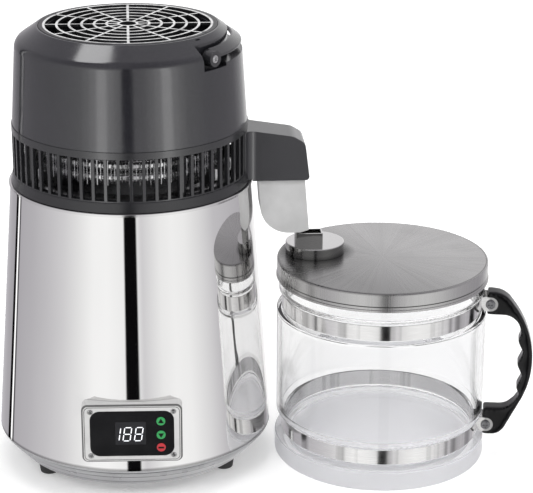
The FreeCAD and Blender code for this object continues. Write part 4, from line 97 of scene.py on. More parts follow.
class Surface:
    """A Principled material with procedural colour, roughness and bump over its own constants."""

    def __init__(self, name, colour, metallic=0.0, roughness=0.5, **inputs):
        self.material = bpy.data.materials.new(name)
        self.material.use_nodes = True
        self.tree = self.material.node_tree
        self.shader = self.tree.nodes["Principled BSDF"]
        self.colour = colour
        self.put("Base Color", (*colour, 1.0))
        self.put("Metallic", metallic)
        self.put("Roughness", roughness)
        for socket, value in inputs.items():
            self.put(socket.replace("_", " "), value)
        self.bump_end = None

    def put(self, socket, value):
        self.shader.inputs[socket].default_value = value

    def node(self, kind, **values):
        """Node of a kind; each value goes to its property or, failing that, to its input."""
        made = self.tree.nodes.new(kind)
        for key, value in values.items():
            if hasattr(made, key):
                setattr(made, key, value)
            else:
                made.inputs[key.replace("_", " ")].default_value = value
        return made

    def link(self, start, end):
        self.tree.links.new(start, end)

    def place(self, stretch=(1, 1, 1)):
        """Object coordinates in metres, scaled along each axis."""
        coordinates = self.node("ShaderNodeTexCoord")
        mapping = self.node("ShaderNodeMapping")
        mapping.inputs["Scale"].default_value = stretch
        self.link(coordinates.outputs["Object"], mapping.inputs["Vector"])
        return mapping.outputs["Vector"]

    def noise(self, scale, detail=3.0, stretch=(1, 1, 1), rough=0.5):
        made = self.node("ShaderNodeTexNoise", Scale=scale, Detail=detail, Roughness=rough)
        self.link(self.place(stretch), made.inputs["Vector"])
        return made.outputs["Fac"]

    def cells(self, scale):
        made = self.node("ShaderNodeTexVoronoi", Scale=scale)
        self.link(self.place(), made.inputs["Vector"])
        return made.outputs["Distance"]

    def spread(self, factor, low, high, out_low=0.0, out_high=1.0):
        """Factor from low..high to out_low..out_high, clamped."""
        made = self.node("ShaderNodeMapRange")
        for key, value in (("From Min", low), ("From Max", high),
                           ("To Min", out_low), ("To Max", out_high)):
            made.inputs[key].default_value = value
        self.link(factor, made.inputs["Value"])
        return made.outputs["Result"]

    def tint(self, factor, other, low=0.35, high=0.65):
        """Colour goes from what it is now to the other as factor goes from low to high."""
        mix = self.node("ShaderNodeMix", data_type="RGBA")
        colours = [socket for socket in mix.inputs if socket.type == "RGBA"]
        colours[0].default_value = (*self.colour, 1.0)
        colours[1].default_value = (*other, 1.0)
        base = self.shader.inputs["Base Color"]
        if base.links:
            self.link(base.links[0].from_socket, colours[0])
        self.link(self.spread(factor, low, high), mix.inputs[0])
        self.link([socket for socket in mix.outputs if socket.type == "RGBA"][0], base)

    def gloss(self, factor, rough_low, rough_high, low=0.35, high=0.65):
        """Roughness goes from one value to the other as factor goes from low to high."""
        self.link(self.spread(factor, low, high, rough_low, rough_high),
                  self.shader.inputs["Roughness"])

    def soften(self, radius):
        """Edges catch the light as if rounded by the radius."""
        self.bump_end = self.node("ShaderNodeBevel", samples=4, Radius=radius).outputs["Normal"]
        self.link(self.bump_end, self.shader.inputs["Normal"])

    def bump(self, factor, strength, distance):
        """Relief on top of what shapes the normal already."""
        made = self.node("ShaderNodeBump", Strength=strength, Distance=distance)
        self.link(factor, made.inputs["Height"])
        if self.bump_end is not None:
            self.link(self.bump_end, made.inputs["Normal"])
        self.bump_end = made.outputs["Normal"]
        self.link(self.bump_end, self.shader.inputs["Normal"])

    def facing(self, axis):
        """One component of the surface normal: along Z it is 1 on a level top."""
        geometry = self.node("ShaderNodeNewGeometry")
        split = self.node("ShaderNodeSeparateXYZ")
        self.link(geometry.outputs["Normal"], split.inputs["Vector"])
        return split.outputs[axis]

    def height(self):
        """Height above the ground, in metres."""
        split = self.node("ShaderNodeSeparateXYZ")
        self.link(self.place(), split.inputs["Vector"])
        return split.outputs["Z"]

    def vector(self, operation, first, second=None):
        """Vector arithmetic on a socket and a fixed vector."""
        made = self.node("ShaderNodeVectorMath", operation=operation)
        self.link(first, made.inputs[0])
        if second is not None:
            made.inputs[1].default_value = second
        return made

    def from_axis(self, x, y):
        """Level vector from an upright axis at (x, y)."""
        away = self.vector("SUBTRACT", self.place(), (x, y, 0)).outputs["Vector"]
        return self.vector("MULTIPLY", away, (1, 1, 0)).outputs["Vector"]

    def radius(self, x, y):
        return self.vector("LENGTH", self.from_axis(x, y)).outputs["Value"]

    def along(self, x, y, azimuth):
        """Distance from an upright axis, measured towards an azimuth in degrees."""
        turn = math.radians(azimuth)
        way = (math.cos(turn), math.sin(turn), 0)
        return self.vector("DOT_PRODUCT", self.from_axis(x, y), way).outputs["Value"]

    def rays(self, x, y, scale, detail=4.0):
        """Noise that depends on the direction from an axis alone: streaks of a turned face, and
        painted sheen and reflection streaks.
        """
        unit = self.vector("NORMALIZE", self.from_axis(x, y)).outputs["Vector"]
        made = self.node("ShaderNodeTexNoise", Scale=scale, Detail=detail, Roughness=0.65)
        self.link(unit, made.inputs["Vector"])
        return made.outputs["Fac"]

    def stripe(self, factor, low, high, other, blend):
        """Another colour where the factor lies between low and high."""
        apart = self.node("ShaderNodeMath", operation="SUBTRACT")
        self.link(factor, apart.inputs[0])
        apart.inputs[1].default_value = (low + high) / 2
        distance = self.node("ShaderNodeMath", operation="ABSOLUTE")
        self.link(apart.outputs[0], distance.inputs[0])
        reach = (high - low) / 2
        self.tint(distance.outputs[0], other, reach + blend, reach)

    def line(self, factor, value, half, other, blend):
        """Thin line of another colour around a value of the factor."""
        self.stripe(factor, value - half, value + half, other, blend)


# ---------------------------------------------------------------- plastics, rubber and coatings


def moulded(name, colour, roughness, grain=900, edge=0.0004, fleck=None, **inputs):
    """Injection-moulded plastic: slight mottling, fine grain, faint sink waves, soft edges."""
    s = Surface(name, colour, 0.0, roughness, **inputs)
    s.soften(edge)
    s.tint(s.noise(38, 4), shaded(colour, 0.85))
    if fleck:
        s.tint(s.noise(2600, 2), fleck, 0.62, 0.72)
    s.gloss(s.noise(60, 3), roughness * 0.9, roughness * 1.15)
    s.bump(s.noise(grain, 2), 0.12, FINE)
    s.bump(s.noise(16, 2), 0.08, WAVE)
    return s.material


def shade_lined_ring(name, colour, roughness):
    """Pale moulded ring with thin lines of painted shade around it."""
    s = Surface(name, colour, 0.0, roughness)
    s.soften(0.0005)
    s.tint(s.noise(38, 4), shaded(colour, 0.85))
    # Painted shade: thin dark lines around the ring
    for rise in BASE_SHADE_LINES:
        s.line(s.height(), bottom("base_ring") + rise, 0.0003, shaded(colour, 0.25), 0.0004)
    s.gloss(s.noise(60, 3), roughness * 0.9, roughness * 1.15)
    s.bump(s.noise(800, 2), 0.12, FINE)
    return s.material


def framed(name, colour, roughness):
    """Pale housing whose bevelled edge carries a painted shade, darker than its front, which faces
    -Y.
    """
    s = Surface(name, colour, 0.0, roughness)
    s.tint(s.noise(38, 4), shaded(colour, 0.85))
    # Painted shade on the bevel, picked by the way its normal faces
    s.stripe(s.facing("Y"), -0.93, -0.30, shaded(colour, 0.16), 0.05)
    s.gloss(s.noise(60, 3), roughness * 0.9, roughness * 1.15)
    s.bump(s.noise(1400, 2), 0.12, FINE)
    return s.material


def painted_grille(name, level, wall):
    """Grille with light level faces, and near-black painted shade on the walls between its bars and
    on its outer rim.
    """
    s = Surface(name, wall, 0.0, 0.35)
    # Painted shade: faces that don't face up, and the outer rim, keep the near-black colour
    s.tint(s.facing("Z"), level, 0.55, 0.8)
    s.tint(s.radius(0, 0), wall, GRILLE_RIM_SHADE_R, GRILLE_RIM_SHADE_R + 0.0004)
    s.tint(s.noise(120, 3), shaded(wall, 0.8), 0.5, 0.9)
    s.bump(s.noise(1400, 2), 0.15, FINE)
    return s.material


def rubber(name, colour, roughness):
    """Matt rubber with a dusty bloom and a fine grain."""
    s = Surface(name, colour, 0.0, roughness)
    s.tint(s.noise(240, 5), shaded(colour, 1.7), 0.5, 0.75)
    s.gloss(s.noise(90, 3), roughness * 0.85, min(1.0, roughness * 1.15))
    s.bump(s.noise(1400, 3), 0.4, ROUGH)
    return s.material


def resin(name, colour, roughness, speck):
    """Coated board, cast part or cloth, with specks."""
    s = Surface(name, colour, 0.0, roughness)
    s.tint(s.noise(180, 4), speck, 0.55, 0.75)
    s.tint(s.cells(650), shaded(colour, 0.7), 0.0, 0.25)
    s.gloss(s.noise(130, 3), roughness * 0.8, min(1.0, roughness * 1.25))
    s.bump(s.noise(900, 3), 0.3, ROUGH)
    return s.material


def glowing(name, colour, strength):
    """Lit bar of the display, slightly uneven."""
    s = Surface(name, colour, 0.0, 0.4, Emission_Color=(*colour, 1.0), Emission_Strength=strength)
    s.tint(s.noise(900, 3), shaded(colour, 0.85))
    s.bump(s.noise(1500, 2), 0.2, SLIGHT)
    return s.material


# ---------------------------------------------------------------- metals and glass

LID_GRAIN = (1400, 1400, 20)
STRAP_GRAIN = (60, 60, 2400)
PAN_GRAIN = (300, 300, 1200)
UPRIGHT_SCRATCHES = (1, 1, 0.08)


def polished(name, colour, roughness, foot_shade_z=None):
    """Mirror-polished steel: wiping haze, faint long waves and, from a height down, a painted shade
    at its foot.
    """
    s = Surface(name, colour, 1.0, roughness)
    s.tint(s.noise(14, 3, (1, 1, 0.3)), shaded(colour, 0.95))
    # Painted shade: darker from a height down to the casing's foot
    if foot_shade_z is not None:
        s.tint(s.height(), shaded(colour, 0.45), foot_shade_z + CASING_FOOT_SHADE_END, foot_shade_z + CASING_FOOT_SHADE)
    s.gloss(s.noise(30, 5, (1, 1, 0.25)), roughness * 0.6, roughness * 1.5)
    s.bump(s.noise(900, 2, UPRIGHT_SCRATCHES), 0.04, FINE)
    return s.material


def polished_cap(name, level, wall, roughness):
    """Polished cap whose upright walls carry a painted shade, darker than its level top."""
    s = Surface(name, wall, 1.0, roughness)
    # Painted shade: the upright walls keep the dark colour, the level top gets the bright one
    s.tint(s.facing("Z"), level, 0.5, 0.8)
    s.gloss(s.noise(30, 5), roughness * 0.7, roughness * 1.4)
    s.bump(s.noise(900, 2, UPRIGHT_SCRATCHES), 0.08, FINE)
    return s.material


def brushed(name, colour, roughness, grain):
    """Brushed steel: fine streaks that run along the axis whose stretch is smallest."""
    s = Surface(name, colour, 1.0, roughness)
    streaks = s.noise(1.0, 4, grain, 0.7)
    s.tint(s.noise(12, 3), shaded(colour, 0.86))
    s.tint(streaks, shaded(colour, 1.22), 0.45, 0.8)
    s.gloss(streaks, roughness * 0.8, roughness * 1.3)
    s.bump(streaks, 0.25, SLIGHT)
    return s.material


def machined(name, colour, roughness):
    """Turned or plated metal of screws, shafts and fins."""
    s = Surface(name, colour, 1.0, roughness)
    s.tint(s.noise(420, 3), shaded(colour, 0.8))
    s.gloss(s.noise(700, 3), roughness * 0.7, roughness * 1.4)
    s.bump(s.noise(2200, 2), 0.2, FINE)
    return s.material


def rolled_strap(name, colour, roughness):
    """Bright strap of rolled sheet with painted reflections as upright dark streaks, and painted
    shade that dulls its lugs.
    """
    s = Surface(name, colour, 1.0, roughness)
    grain = s.noise(1.0, 4, STRAP_GRAIN, 0.7)
    s.tint(grain, shaded(colour, 1.2), 0.45, 0.8)
    # Painted reflection: upright dark streaks by the direction from the carafe's axis
    s.tint(s.rays(*CARAFE, 3.2, 3), shaded(colour, 0.30), 0.52, 0.68)
    # Painted shade: the lugs outside LUG_FROM_R are duller
    s.tint(s.radius(*CARAFE), shaded(colour, 0.6), LUG_FROM_R, LUG_FROM_R + 0.002)
    s.gloss(s.noise(40, 3), roughness * 0.8, roughness * 1.3)
    s.bump(grain, 0.2, SLIGHT)
    return s.material


def turned_lid(name, colour, roughness):
    """Lid of brushed sheet: streaks fan out from its middle, with painted sheen in broad sectors;
    painted shade on its front, skirt, hem and rim, and a painted shadow around its cap.
    """
    s = Surface(name, colour, 1.0, roughness)
    streaks = s.rays(*CARAFE, 22)
    grain = s.noise(1.0, 4, LID_GRAIN, 0.7)
    s.tint(grain, shaded(colour, 0.86), 0.4, 0.8)
    s.tint(streaks, shaded(colour, 1.04), 0.45, 0.75)
    # Painted sheen: broad fan-shaped lighter and darker sectors around the lid's middle
    s.tint(s.rays(*CARAFE, 3, 2), shaded(colour, 0.88), 0.45, 0.7)
    s.tint(s.noise(30, 3), shaded(colour, 0.85), 0.5, 0.8)
    # Painted shade on the front-left of the lid's top
    s.tint(s.along(*CARAFE, LID_SHADE_AZ), shaded(colour, 0.55), LID_SHADE_FROM, LID_SHADE_TO)
    # Painted shadow: a dark ring on the lid around the cap
    cap_x, cap_y, _ = middle("inlet_cap")
    cap_r = half_width("inlet_cap")
    s.tint(s.radius(cap_x, cap_y), shaded(colour, 0.1), cap_r + CAP_SHADE_WIDTH, cap_r)
    # Painted shade of the upright skirt: one even, darker tone below its top, over the marks above
    s.tint(s.height(), shaded(colour, 0.85), LID_SKIRT_TOP_Z, LID_SKIRT_TOP_Z - 0.001)
    # Painted shade lines at the skirt's hem and in the rounded rim
    s.line(s.height(), LID_HEM_SHADE_Z, 0.0003, shaded(colour, 0.12), 0.0003)
    s.stripe(s.radius(*CARAFE), LID_RIM_SHADE_R - LID_RIM_SHADE_WIDTH, LID_RIM_SHADE_R, shaded(colour, 0.45), 0.0003)
    s.gloss(streaks, roughness * 0.8, roughness * 1.3)
    s.bump(streaks, 0.04, SLIGHT)
    s.bump(grain, 0.15, FINE)
    return s.material


def clear_glass(name):
    """Pressed glass: clear wall, its thick foot frosted and milky."""
    s = Surface(name, (0.99, 0.99, 0.99), 0.0, 0.0, IOR=1.45, Transmission_Weight=1.0)
    height = s.height()
    s.gloss(height, 0.28, 0.0, JAR_FROSTED_Z, JAR_CLEAR_Z)
    s.link(s.spread(height, JAR_FROSTED_Z, JAR_CLEAR_Z, 0.5, 1.0),
           s.shader.inputs["Transmission Weight"])
    s.tint(s.noise(9, 2), (0.975, 0.975, 0.98))
    s.tint(height, (0.77, 0.77, 0.79), JAR_CLEAR_Z, JAR_FROSTED_Z)
    s.bump(s.noise(26, 2, (1, 1, 0.35)), 0.12, 0.0006)
    return s.material


# ---------------------------------------------------------------- finishes

MIRROR = (0.80, 0.795, 0.79)
BRIGHT = (0.74, 0.735, 0.73)
COVER_FLECK = (0.05, 0.05, 0.056)
SPOUT_FLECK = (0.05, 0.05, 0.055)
DARK_IOR = 1.68

casing_steel = polished("casing_steel", MIRROR, 0.028, bottom("outer_casing"))
trim_steel = polished("trim_steel", BRIGHT, 0.10)
cap_steel = polished_cap("cap_steel", BRIGHT, (0.26, 0.26, 0.255), 0.10)
strap_steel = rolled_strap("strap_steel", (0.72, 0.715, 0.71), 0.12)
lid_steel = turned_lid("lid_steel", (0.55, 0.545, 0.54), 0.24)
pan_steel = brushed("pan_steel", (0.70, 0.70, 0.70), 0.18, PAN_GRAIN)
coil_steel = machined("coil_steel", (0.72, 0.72, 0.72), 0.16)
fin_metal = machined("fin_metal", (0.66, 0.66, 0.67), 0.22)
screw_steel = machined("screw_steel", (0.62, 0.62, 0.62), 0.22)
bolt_steel = machined("bolt_steel", (0.26, 0.26, 0.27), 0.18)
dark_screw = machined("dark_screw", (0.10, 0.10, 0.11), 0.35)
motor_metal = machined("motor_metal", (0.45, 0.46, 0.47), 0.4)
cover_plastic = moulded("cover_plastic", (0.013, 0.013, 0.016), 0.13, 1500, 0.0006, COVER_FLECK,
                        IOR=DARK_IOR)
ring_plastic = moulded("ring_plastic", (0.014, 0.014, 0.016), 0.18, edge=0.0007, IOR=1.62)
band_plastic = moulded("band_plastic", (0.009, 0.009, 0.011), 0.22, IOR=1.6)
spout_plastic = moulded("spout_plastic", (0.018, 0.018, 0.021), 0.18, 1300, 0.0008, SPOUT_FLECK,
                        IOR=DARK_IOR)
nozzle_plastic = moulded("nozzle_plastic", (0.61, 0.61, 0.61), 0.38, 700)
base_plastic = shade_lined_ring("base_plastic", (0.42, 0.42, 0.43), 0.30)
grille_paint = painted_grille("grille_paint", (0.62, 0.62, 0.62), (0.012, 0.012, 0.013))
handle_plastic = moulded("handle_plastic", (0.016, 0.016, 0.018), 0.16, 1000, 0.0006, IOR=DARK_IOR)
grip_plastic = moulded("grip_plastic", (0.003, 0.003, 0.0034), 0.12, 1200, 0.001, IOR=1.34)
bezel_plastic = framed("bezel_plastic", (0.66, 0.655, 0.65), 0.24)
face_plastic = moulded("face_plastic", (0.008, 0.008, 0.009), 0.16, 1600)
lens_plastic = moulded("lens_plastic", (0.024, 0.024, 0.027), 0.18, 1600)
green_key = moulded("green_key", (0.035, 0.36, 0.10), 0.32, 1600)
red_key = moulded("red_key", (0.55, 0.035, 0.045), 0.32, 1600)
key_mark = moulded("key_mark", (0.002, 0.002, 0.002), 0.6, 1600, IOR=1.3)
seam_shade = moulded("seam_shade", (0.03, 0.03, 0.03), 0.5, 1600)
socket_plastic = moulded("socket_plastic", (0.014, 0.014, 0.015), 0.42)
fan_plastic = moulded("fan_plastic", (0.020, 0.020, 0.022), 0.35)
foot_rubber = rubber("foot_rubber", (0.012, 0.012, 0.012), 0.62)
seal_rubber = rubber("seal_rubber", (0.62, 0.62, 0.60), 0.5)
gasket_rubber = rubber("gasket_rubber", (0.05, 0.05, 0.05), 0.6)
board_resin = resin("board_resin", (0.02, 0.16, 0.06), 0.35, (0.05, 0.28, 0.12))
heater_cast = resin("heater_cast", (0.38, 0.38, 0.38), 0.5, (0.5, 0.5, 0.5))
carbon_cloth = resin("carbon_cloth", (0.05, 0.05, 0.05), 0.9, (0.14, 0.14, 0.14))
digit_light = glowing("digit_light", (0.95, 0.96, 1.0), 0.5)
jar_material = clear_glass("jar_glass_clear")

FINISH = {
    casing_steel: ["outer_casing"],
    trim_steel: ["boiling_tank"],
    cap_steel: ["inlet_cap"],
    strap_steel: ["upper_strap", "lower_strap"],
    lid_steel: ["jar_lid"],
    pan_steel: ["dome_pan", "base_plate"],
    coil_steel: ["condenser_coil"],
    fin_metal: ["condenser_fins"],
    screw_steel: ["panel_screws", "inlet_pins", "handle_nuts", "foot_screws", "inlet_screws",
                  "bracket_screws", "motor_screws", "clamp_fasteners", "dome_screws",
                  "heater_clamp", "handle_pivots"],
    bolt_steel: ["handle_bolts"],
    dark_screw: ["grille_screws"],
    motor_metal: ["fan_motor", "fan_bracket", "heating_element", "thermostats", "thermal_fuse"],
    cover_plastic: ["dome_cover"],
    ring_plastic: ["vent_ring"],
    band_plastic: ["dome_band"],
    spout_plastic: ["spout_housing"],
    nozzle_plastic: ["filter_nozzle"],
    base_plastic: ["base_ring"],
    grille_paint: ["fan_grille"],
    handle_plastic: ["carry_handle", "handle_bosses"],
    grip_plastic: ["carafe_handle"],
    bezel_plastic: ["panel_housing"],
    face_plastic: ["panel_face"],
    lens_plastic: ["display_module"],
    green_key: ["up_button", "down_button"],
    red_key: ["power_button"],
    socket_plastic: ["power_inlet", "fan_outlet", "fan_inlet", "board_standoffs",
                     "coil_brackets"],
    fan_plastic: ["fan_rotor"],
    foot_rubber: ["feet"],
    seal_rubber: ["lid_seal", "cap_ring"],
    gasket_rubber: ["tank_gasket"],
    board_resin: ["control_board", "key_board"],
    heater_cast: ["heater_plate"],
    carbon_cloth: ["carbon_sachet"],
    jar_material: ["glass_jar"],
}
for finish, members in FINISH.items():
    for member in members:
        slots = nodes[member].data.materials
        slots.clear()
        slots.append(finish)
left_plain = set(nodes) - {member for members in FINISH.values() for member in members}
assert not left_plain, sorted(left_plain)

# ---------------------------------------------------------------- the carafe's grip and shadow

GRIP_CELL = 0.8 * MM
GRIP_PASSES = 45


def round_off(node, cell, passes):
    """Moulded roundness: an even mesh of small cells, smoothed by a number of passes."""
    remesh = nodes[node].modifiers.new("even_cells", "REMESH")
    remesh.mode = "VOXEL"
    remesh.voxel_size = cell
    remesh.use_smooth_shade = True
    smooth = nodes[node].modifiers.new("rounding", "SMOOTH")
    smooth.factor = 0.5
    smooth.iterations = passes


round_off("carafe_handle", GRIP_CELL, GRIP_PASSES)
# The carafe's glass and bright steel leave the paper as light as a wide soft light does
for member in ("glass_jar", "jar_lid", "lid_seal", "upper_strap", "lower_strap"):
    nodes[member].visible_shadow = False

# ---------------------------------------------------------------- mesh helpers

SHARP_ANGLE = math.radians(35)


def finish_mesh(name, made, material, body):
    """Piece from a bmesh: smooth apart from its sharp edges, finished, riding on a body."""
    mesh = bpy.data.meshes.new(name)
    bmesh.ops.recalc_face_normals(made, faces=made.faces)
    made.to_mesh(mesh)
    made.free()
    mesh.shade_smooth()
    mesh.set_sharp_from_angle(angle=SHARP_ANGLE)
    mesh.materials.append(material)
    piece = bpy.data.objects.new(name, mesh)
    bpy.context.scene.collection.objects.link(piece)
    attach(piece, body)


def rounded_rectangle(width, height, radius, steps):
    """Closed (u, v) outline about the origin, each corner an arc of so many steps."""
    points = []
    for quarter, (side_u, side_v) in enumerate(((-1, -1), (1, -1), (1, 1), (-1, 1))):
        centre = Vector((side_u * (width / 2 - radius), side_v * (height / 2 - radius)))
        for step in range(steps + 1):
            angle = math.radians(180 + 90 * (quarter + step / steps))
            points.append(centre + radius * Vector((math.cos(angle), math.sin(angle))))
    return points


def join_loops(made, first, second):
    """Ring of quads between two loops of as many vertices."""
    for index in range(len(first)):
        after = (index + 1) % len(first)
        made.faces.new((first[index], first[after], second[after], second[index]))


def slab(made, first, second):
    """Closed slab between two outlines of vertices; gives back its two caps."""
    caps = [made.faces.new(first), made.faces.new(list(reversed(second)))]
    join_loops(made, first, second)
    return caps


# ---------------------------------------------------------------- thin fins between the fins

FIN_STEP = 6.0                      # azimuth from fin to fin in the stack, in degrees
FIN_STEP_TOLERANCE = 0.2
THIN_FINS = 2                       # thin fins in each gap
FIN_RHO = 75.7 * MM
FIN_W = 10.6 * MM
FIN_H = 20.0 * MM
FIN_CORNER_R = 4.0 * MM
FIN_HALF_T = 0.22 * MM
CLUSTER_GAP = 2.0


def azimuths(node):
    """Azimuths in degrees at which a node has vertices, one for each cluster."""
    found = sorted({round(math.degrees(math.atan2(vertex.co.y, vertex.co.x)) * 2) / 2
                    for vertex in nodes[node].data.vertices})
    clusters = []
    for azimuth in found:
        if clusters and azimuth - clusters[-1][-1] < CLUSTER_GAP:
            clusters[-1].append(azimuth)
        else:
            clusters.append([azimuth])
    return [sum(cluster) / len(cluster) for cluster in clusters]


def thin_fins():
    """Thin fins in each gap of the coil's fin stack."""
    marks = azimuths("condenser_fins")
    centre = Vector((FIN_RHO, middle("condenser_fins").z))
    outline = [centre + point for point in rounded_rectangle(FIN_W, FIN_H, FIN_CORNER_R, 4)]
    made = bmesh.new()
    for before, after in zip(marks, marks[1:]):
        if abs(after - before - FIN_STEP) >= FIN_STEP * FIN_STEP_TOLERANCE:
            continue
        for index in range(1, THIN_FINS + 1):
            azimuth = before + (after - before) * index / (THIN_FINS + 1)
            spin = Matrix.Rotation(math.radians(azimuth), 4, "Z")
            loops = [[made.verts.new(spin @ Vector((point.x, side, point.y))) for point in outline]
                     for side in (-FIN_HALF_T, FIN_HALF_T)]
            slab(made, *loops)
    finish_mesh("thin_fins", made, fin_metal, "dome")


thin_fins()

# ---------------------------------------------------------------- the panel's space, in millimetres

PANEL_TURN = math.radians(-1.65)
PANEL_Z = middle("panel_face").z / MM
HOUSING_Y = -117.0
FACE_Y = -116.7
LENS_Y = FACE_Y + 0.15
CAP_Y = FACE_Y - 0.8
WINDOW_X = -1.2
BUTTON_X = 23.1


def panel_space(x, z, y):
    """Turns (u, v, w) at a spot of the panel into space: u right, v up, w out of the panel."""
    turn = Matrix.Rotation(PANEL_TURN, 4, "Z")
    axes = Matrix(((1, 0, 0, x), (0, 0, -1, y), (0, 1, 0, z), (0, 0, 0, 1)))
    return Matrix.Scale(MM, 4) @ turn @ axes


def plate(name, outline, low, high, to_space, material, body, bevel):
    """Slab of a closed (u, v) outline between two w planes, its edges bevelled."""
    made = bmesh.new()
    loops = [[made.verts.new(to_space @ Vector((*point, w))) for point in outline]
             for w in (low, high)]
    caps = slab(made, *loops)
    rims = {edge for cap in caps for edge in cap.edges}
    bmesh.ops.bevel(made, geom=list(rims), offset=bevel, segments=1, profile=0.5,
                    affect="EDGES", clamp_overlap=True)
    finish_mesh(name, made, material, body)


# ---------------------------------------------------------------- display digits

DIGIT_H = 12.4
DIGIT_W = 6.4
DIGIT_DROP = 0.7
STROKE = 0.8
SLANT = math.tan(math.radians(8.4))
JOINT_GAP = 0.4
BAR_LOW, BAR_HIGH, BAR_BEVEL = -0.02, 0.06, 0.02
HALF_W = (DIGIT_W - STROKE) / 2
HALF_H = (DIGIT_H - STROKE) / 2
BARS = {
    "top": ((-HALF_W, HALF_H), (HALF_W, HALF_H)),
    "mid": ((-HALF_W, 0), (HALF_W, 0)),
    "low": ((-HALF_W, -HALF_H), (HALF_W, -HALF_H)),
    "left_high": ((-HALF_W, 0), (-HALF_W, HALF_H)),
    "left_low": ((-HALF_W, -HALF_H), (-HALF_W, 0)),
    "right_high": ((HALF_W, 0), (HALF_W, HALF_H)),
    "right_low": ((HALF_W, -HALF_H), (HALF_W, 0)),
}
FIGURES = (     # name, distance of its middle from the window's, lit bars
    ("hundreds", -8.6 - HALF_W, ("right_high", "right_low")),
    ("tens", -2.6, tuple(BARS)),
    ("units", 6.5, tuple(BARS)),
)


def digit_bar(name, start, end, x):
    """One lit bar of a seven-segment figure: a slanted six-sided plate."""
    start, end = Vector(start), Vector(end)
    way = (end - start).normalized()
    side = Vector((-way.y, way.x)) * STROKE / 2
    taper = way * STROKE / 2
    start += way * JOINT_GAP
    end -= way * JOINT_GAP
    corners = [start, start + taper + side, end - taper + side,
               end, end - taper - side, start + taper - side]
    outline = [(corner.x + corner.y * SLANT, corner.y) for corner in corners]
    plate(name, outline, BAR_LOW, BAR_HIGH, panel_space(x, PANEL_Z - DIGIT_DROP, LENS_Y),
          digit_light, "base", BAR_BEVEL)


for figure, shift, bars in FIGURES:
    for bar in bars:
        digit_bar(f"digit_{figure}_{bar}", *BARS[bar], WINDOW_X + shift)

# ---------------------------------------------------------------- marks on the keys

MARK_HALF_W = 2.4
MARK_FOOT = 1.5
MARK_TIP = 2.5
MARK_LOW, MARK_HIGH, MARK_BEVEL = -0.03, 0.02, 0.01
KEY_MARKS = (   # button, body, outline
    ("up_button", "up_key",
     [(-MARK_HALF_W, -MARK_FOOT), (MARK_HALF_W, -MARK_FOOT), (0, MARK_TIP)]),
    ("down_button", "down_key",
     [(-MARK_HALF_W, MARK_FOOT), (0, -MARK_TIP), (MARK_HALF_W, MARK_FOOT)]),
    ("power_button", "power_key", rounded_rectangle(4.6, 1.6, 0.3, 3)),
)
for button, body, outline in KEY_MARKS:
    plate(f"{body}_mark", outline, MARK_LOW, MARK_HIGH,
          panel_space(BUTTON_X, middle(button).z / MM, CAP_Y),
          key_mark, body, MARK_BEVEL)

# ---------------------------------------------------------------- seam on the housing's front

SEAM_W = 76.6
SEAM_H = 46.2
SEAM_CORNER_R = 4.0
SEAM_LINE = 0.5
SEAM_SUNK, SEAM_PROUD = -0.03, 0.015


def housing_seam():
    """Thin dark line that runs around the front face of the panel's housing."""
    made = bmesh.new()
    space = panel_space(0, PANEL_Z, HOUSING_Y)
    loops = []
    for inset, proud in ((0, SEAM_SUNK), (0, SEAM_PROUD),
                         (SEAM_LINE, SEAM_PROUD), (SEAM_LINE, SEAM_SUNK)):
        outline = rounded_rectangle(SEAM_W - 2 * inset, SEAM_H - 2 * inset,
                                    SEAM_CORNER_R - inset, 8)
        loops.append([made.verts.new(space @ Vector((*point, proud))) for point in outline])
    for index, loop in enumerate(loops):
        join_loops(made, loop, loops[(index + 1) % len(loops)])
    finish_mesh("housing_seam", made, seam_shade, "base")


housing_seam()

# ---------------------------------------------------------------- studio

FLOOR_REACH = 7.0
FLOOR_DROP = 0.0002
FLOOR_LIFT = (0.19, 0.50)           # light that the camera alone sees in the floor, near and far
FLOOR_LIFT_R = (0.5, 2.5)


def stage_floor():
    """Pale paper that keeps the object's shadow and fades to the white around it."""
    mesh = bpy.data.meshes.new("floor")
    corners = [(-FLOOR_REACH, -FLOOR_REACH, 0), (FLOOR_REACH, -FLOOR_REACH, 0),
               (FLOOR_REACH, FLOOR_REACH, 0), (-FLOOR_REACH, FLOOR_REACH, 0)]
    mesh.from_pydata(corners, [], [(0, 1, 2, 3)])
    floor = bpy.data.objects.new("floor", mesh)
    floor.location.z = -FLOOR_DROP
    bpy.context.scene.collection.objects.link(floor)
    paint = Surface("floor_paper", (0.90, 0.90, 0.90), 0.0, 0.9)
    paint.tint(paint.noise(3, 2), (0.89, 0.89, 0.89))
    paint.put("Emission Color", (1, 1, 1, 1))
    ray = paint.node("ShaderNodeLightPath")
    lift = paint.node("ShaderNodeMath", operation="MULTIPLY")
    paint.link(ray.outputs["Is Camera Ray"], lift.inputs[0])
    paint.link(paint.spread(paint.radius(0, 0), *FLOOR_LIFT_R, *FLOOR_LIFT), lift.inputs[1])
    paint.link(lift.outputs[0], paint.shader.inputs["Emission Strength"])
    mesh.materials.append(paint.material)
    floor.visible_glossy = False
    floor.visible_shadow = False


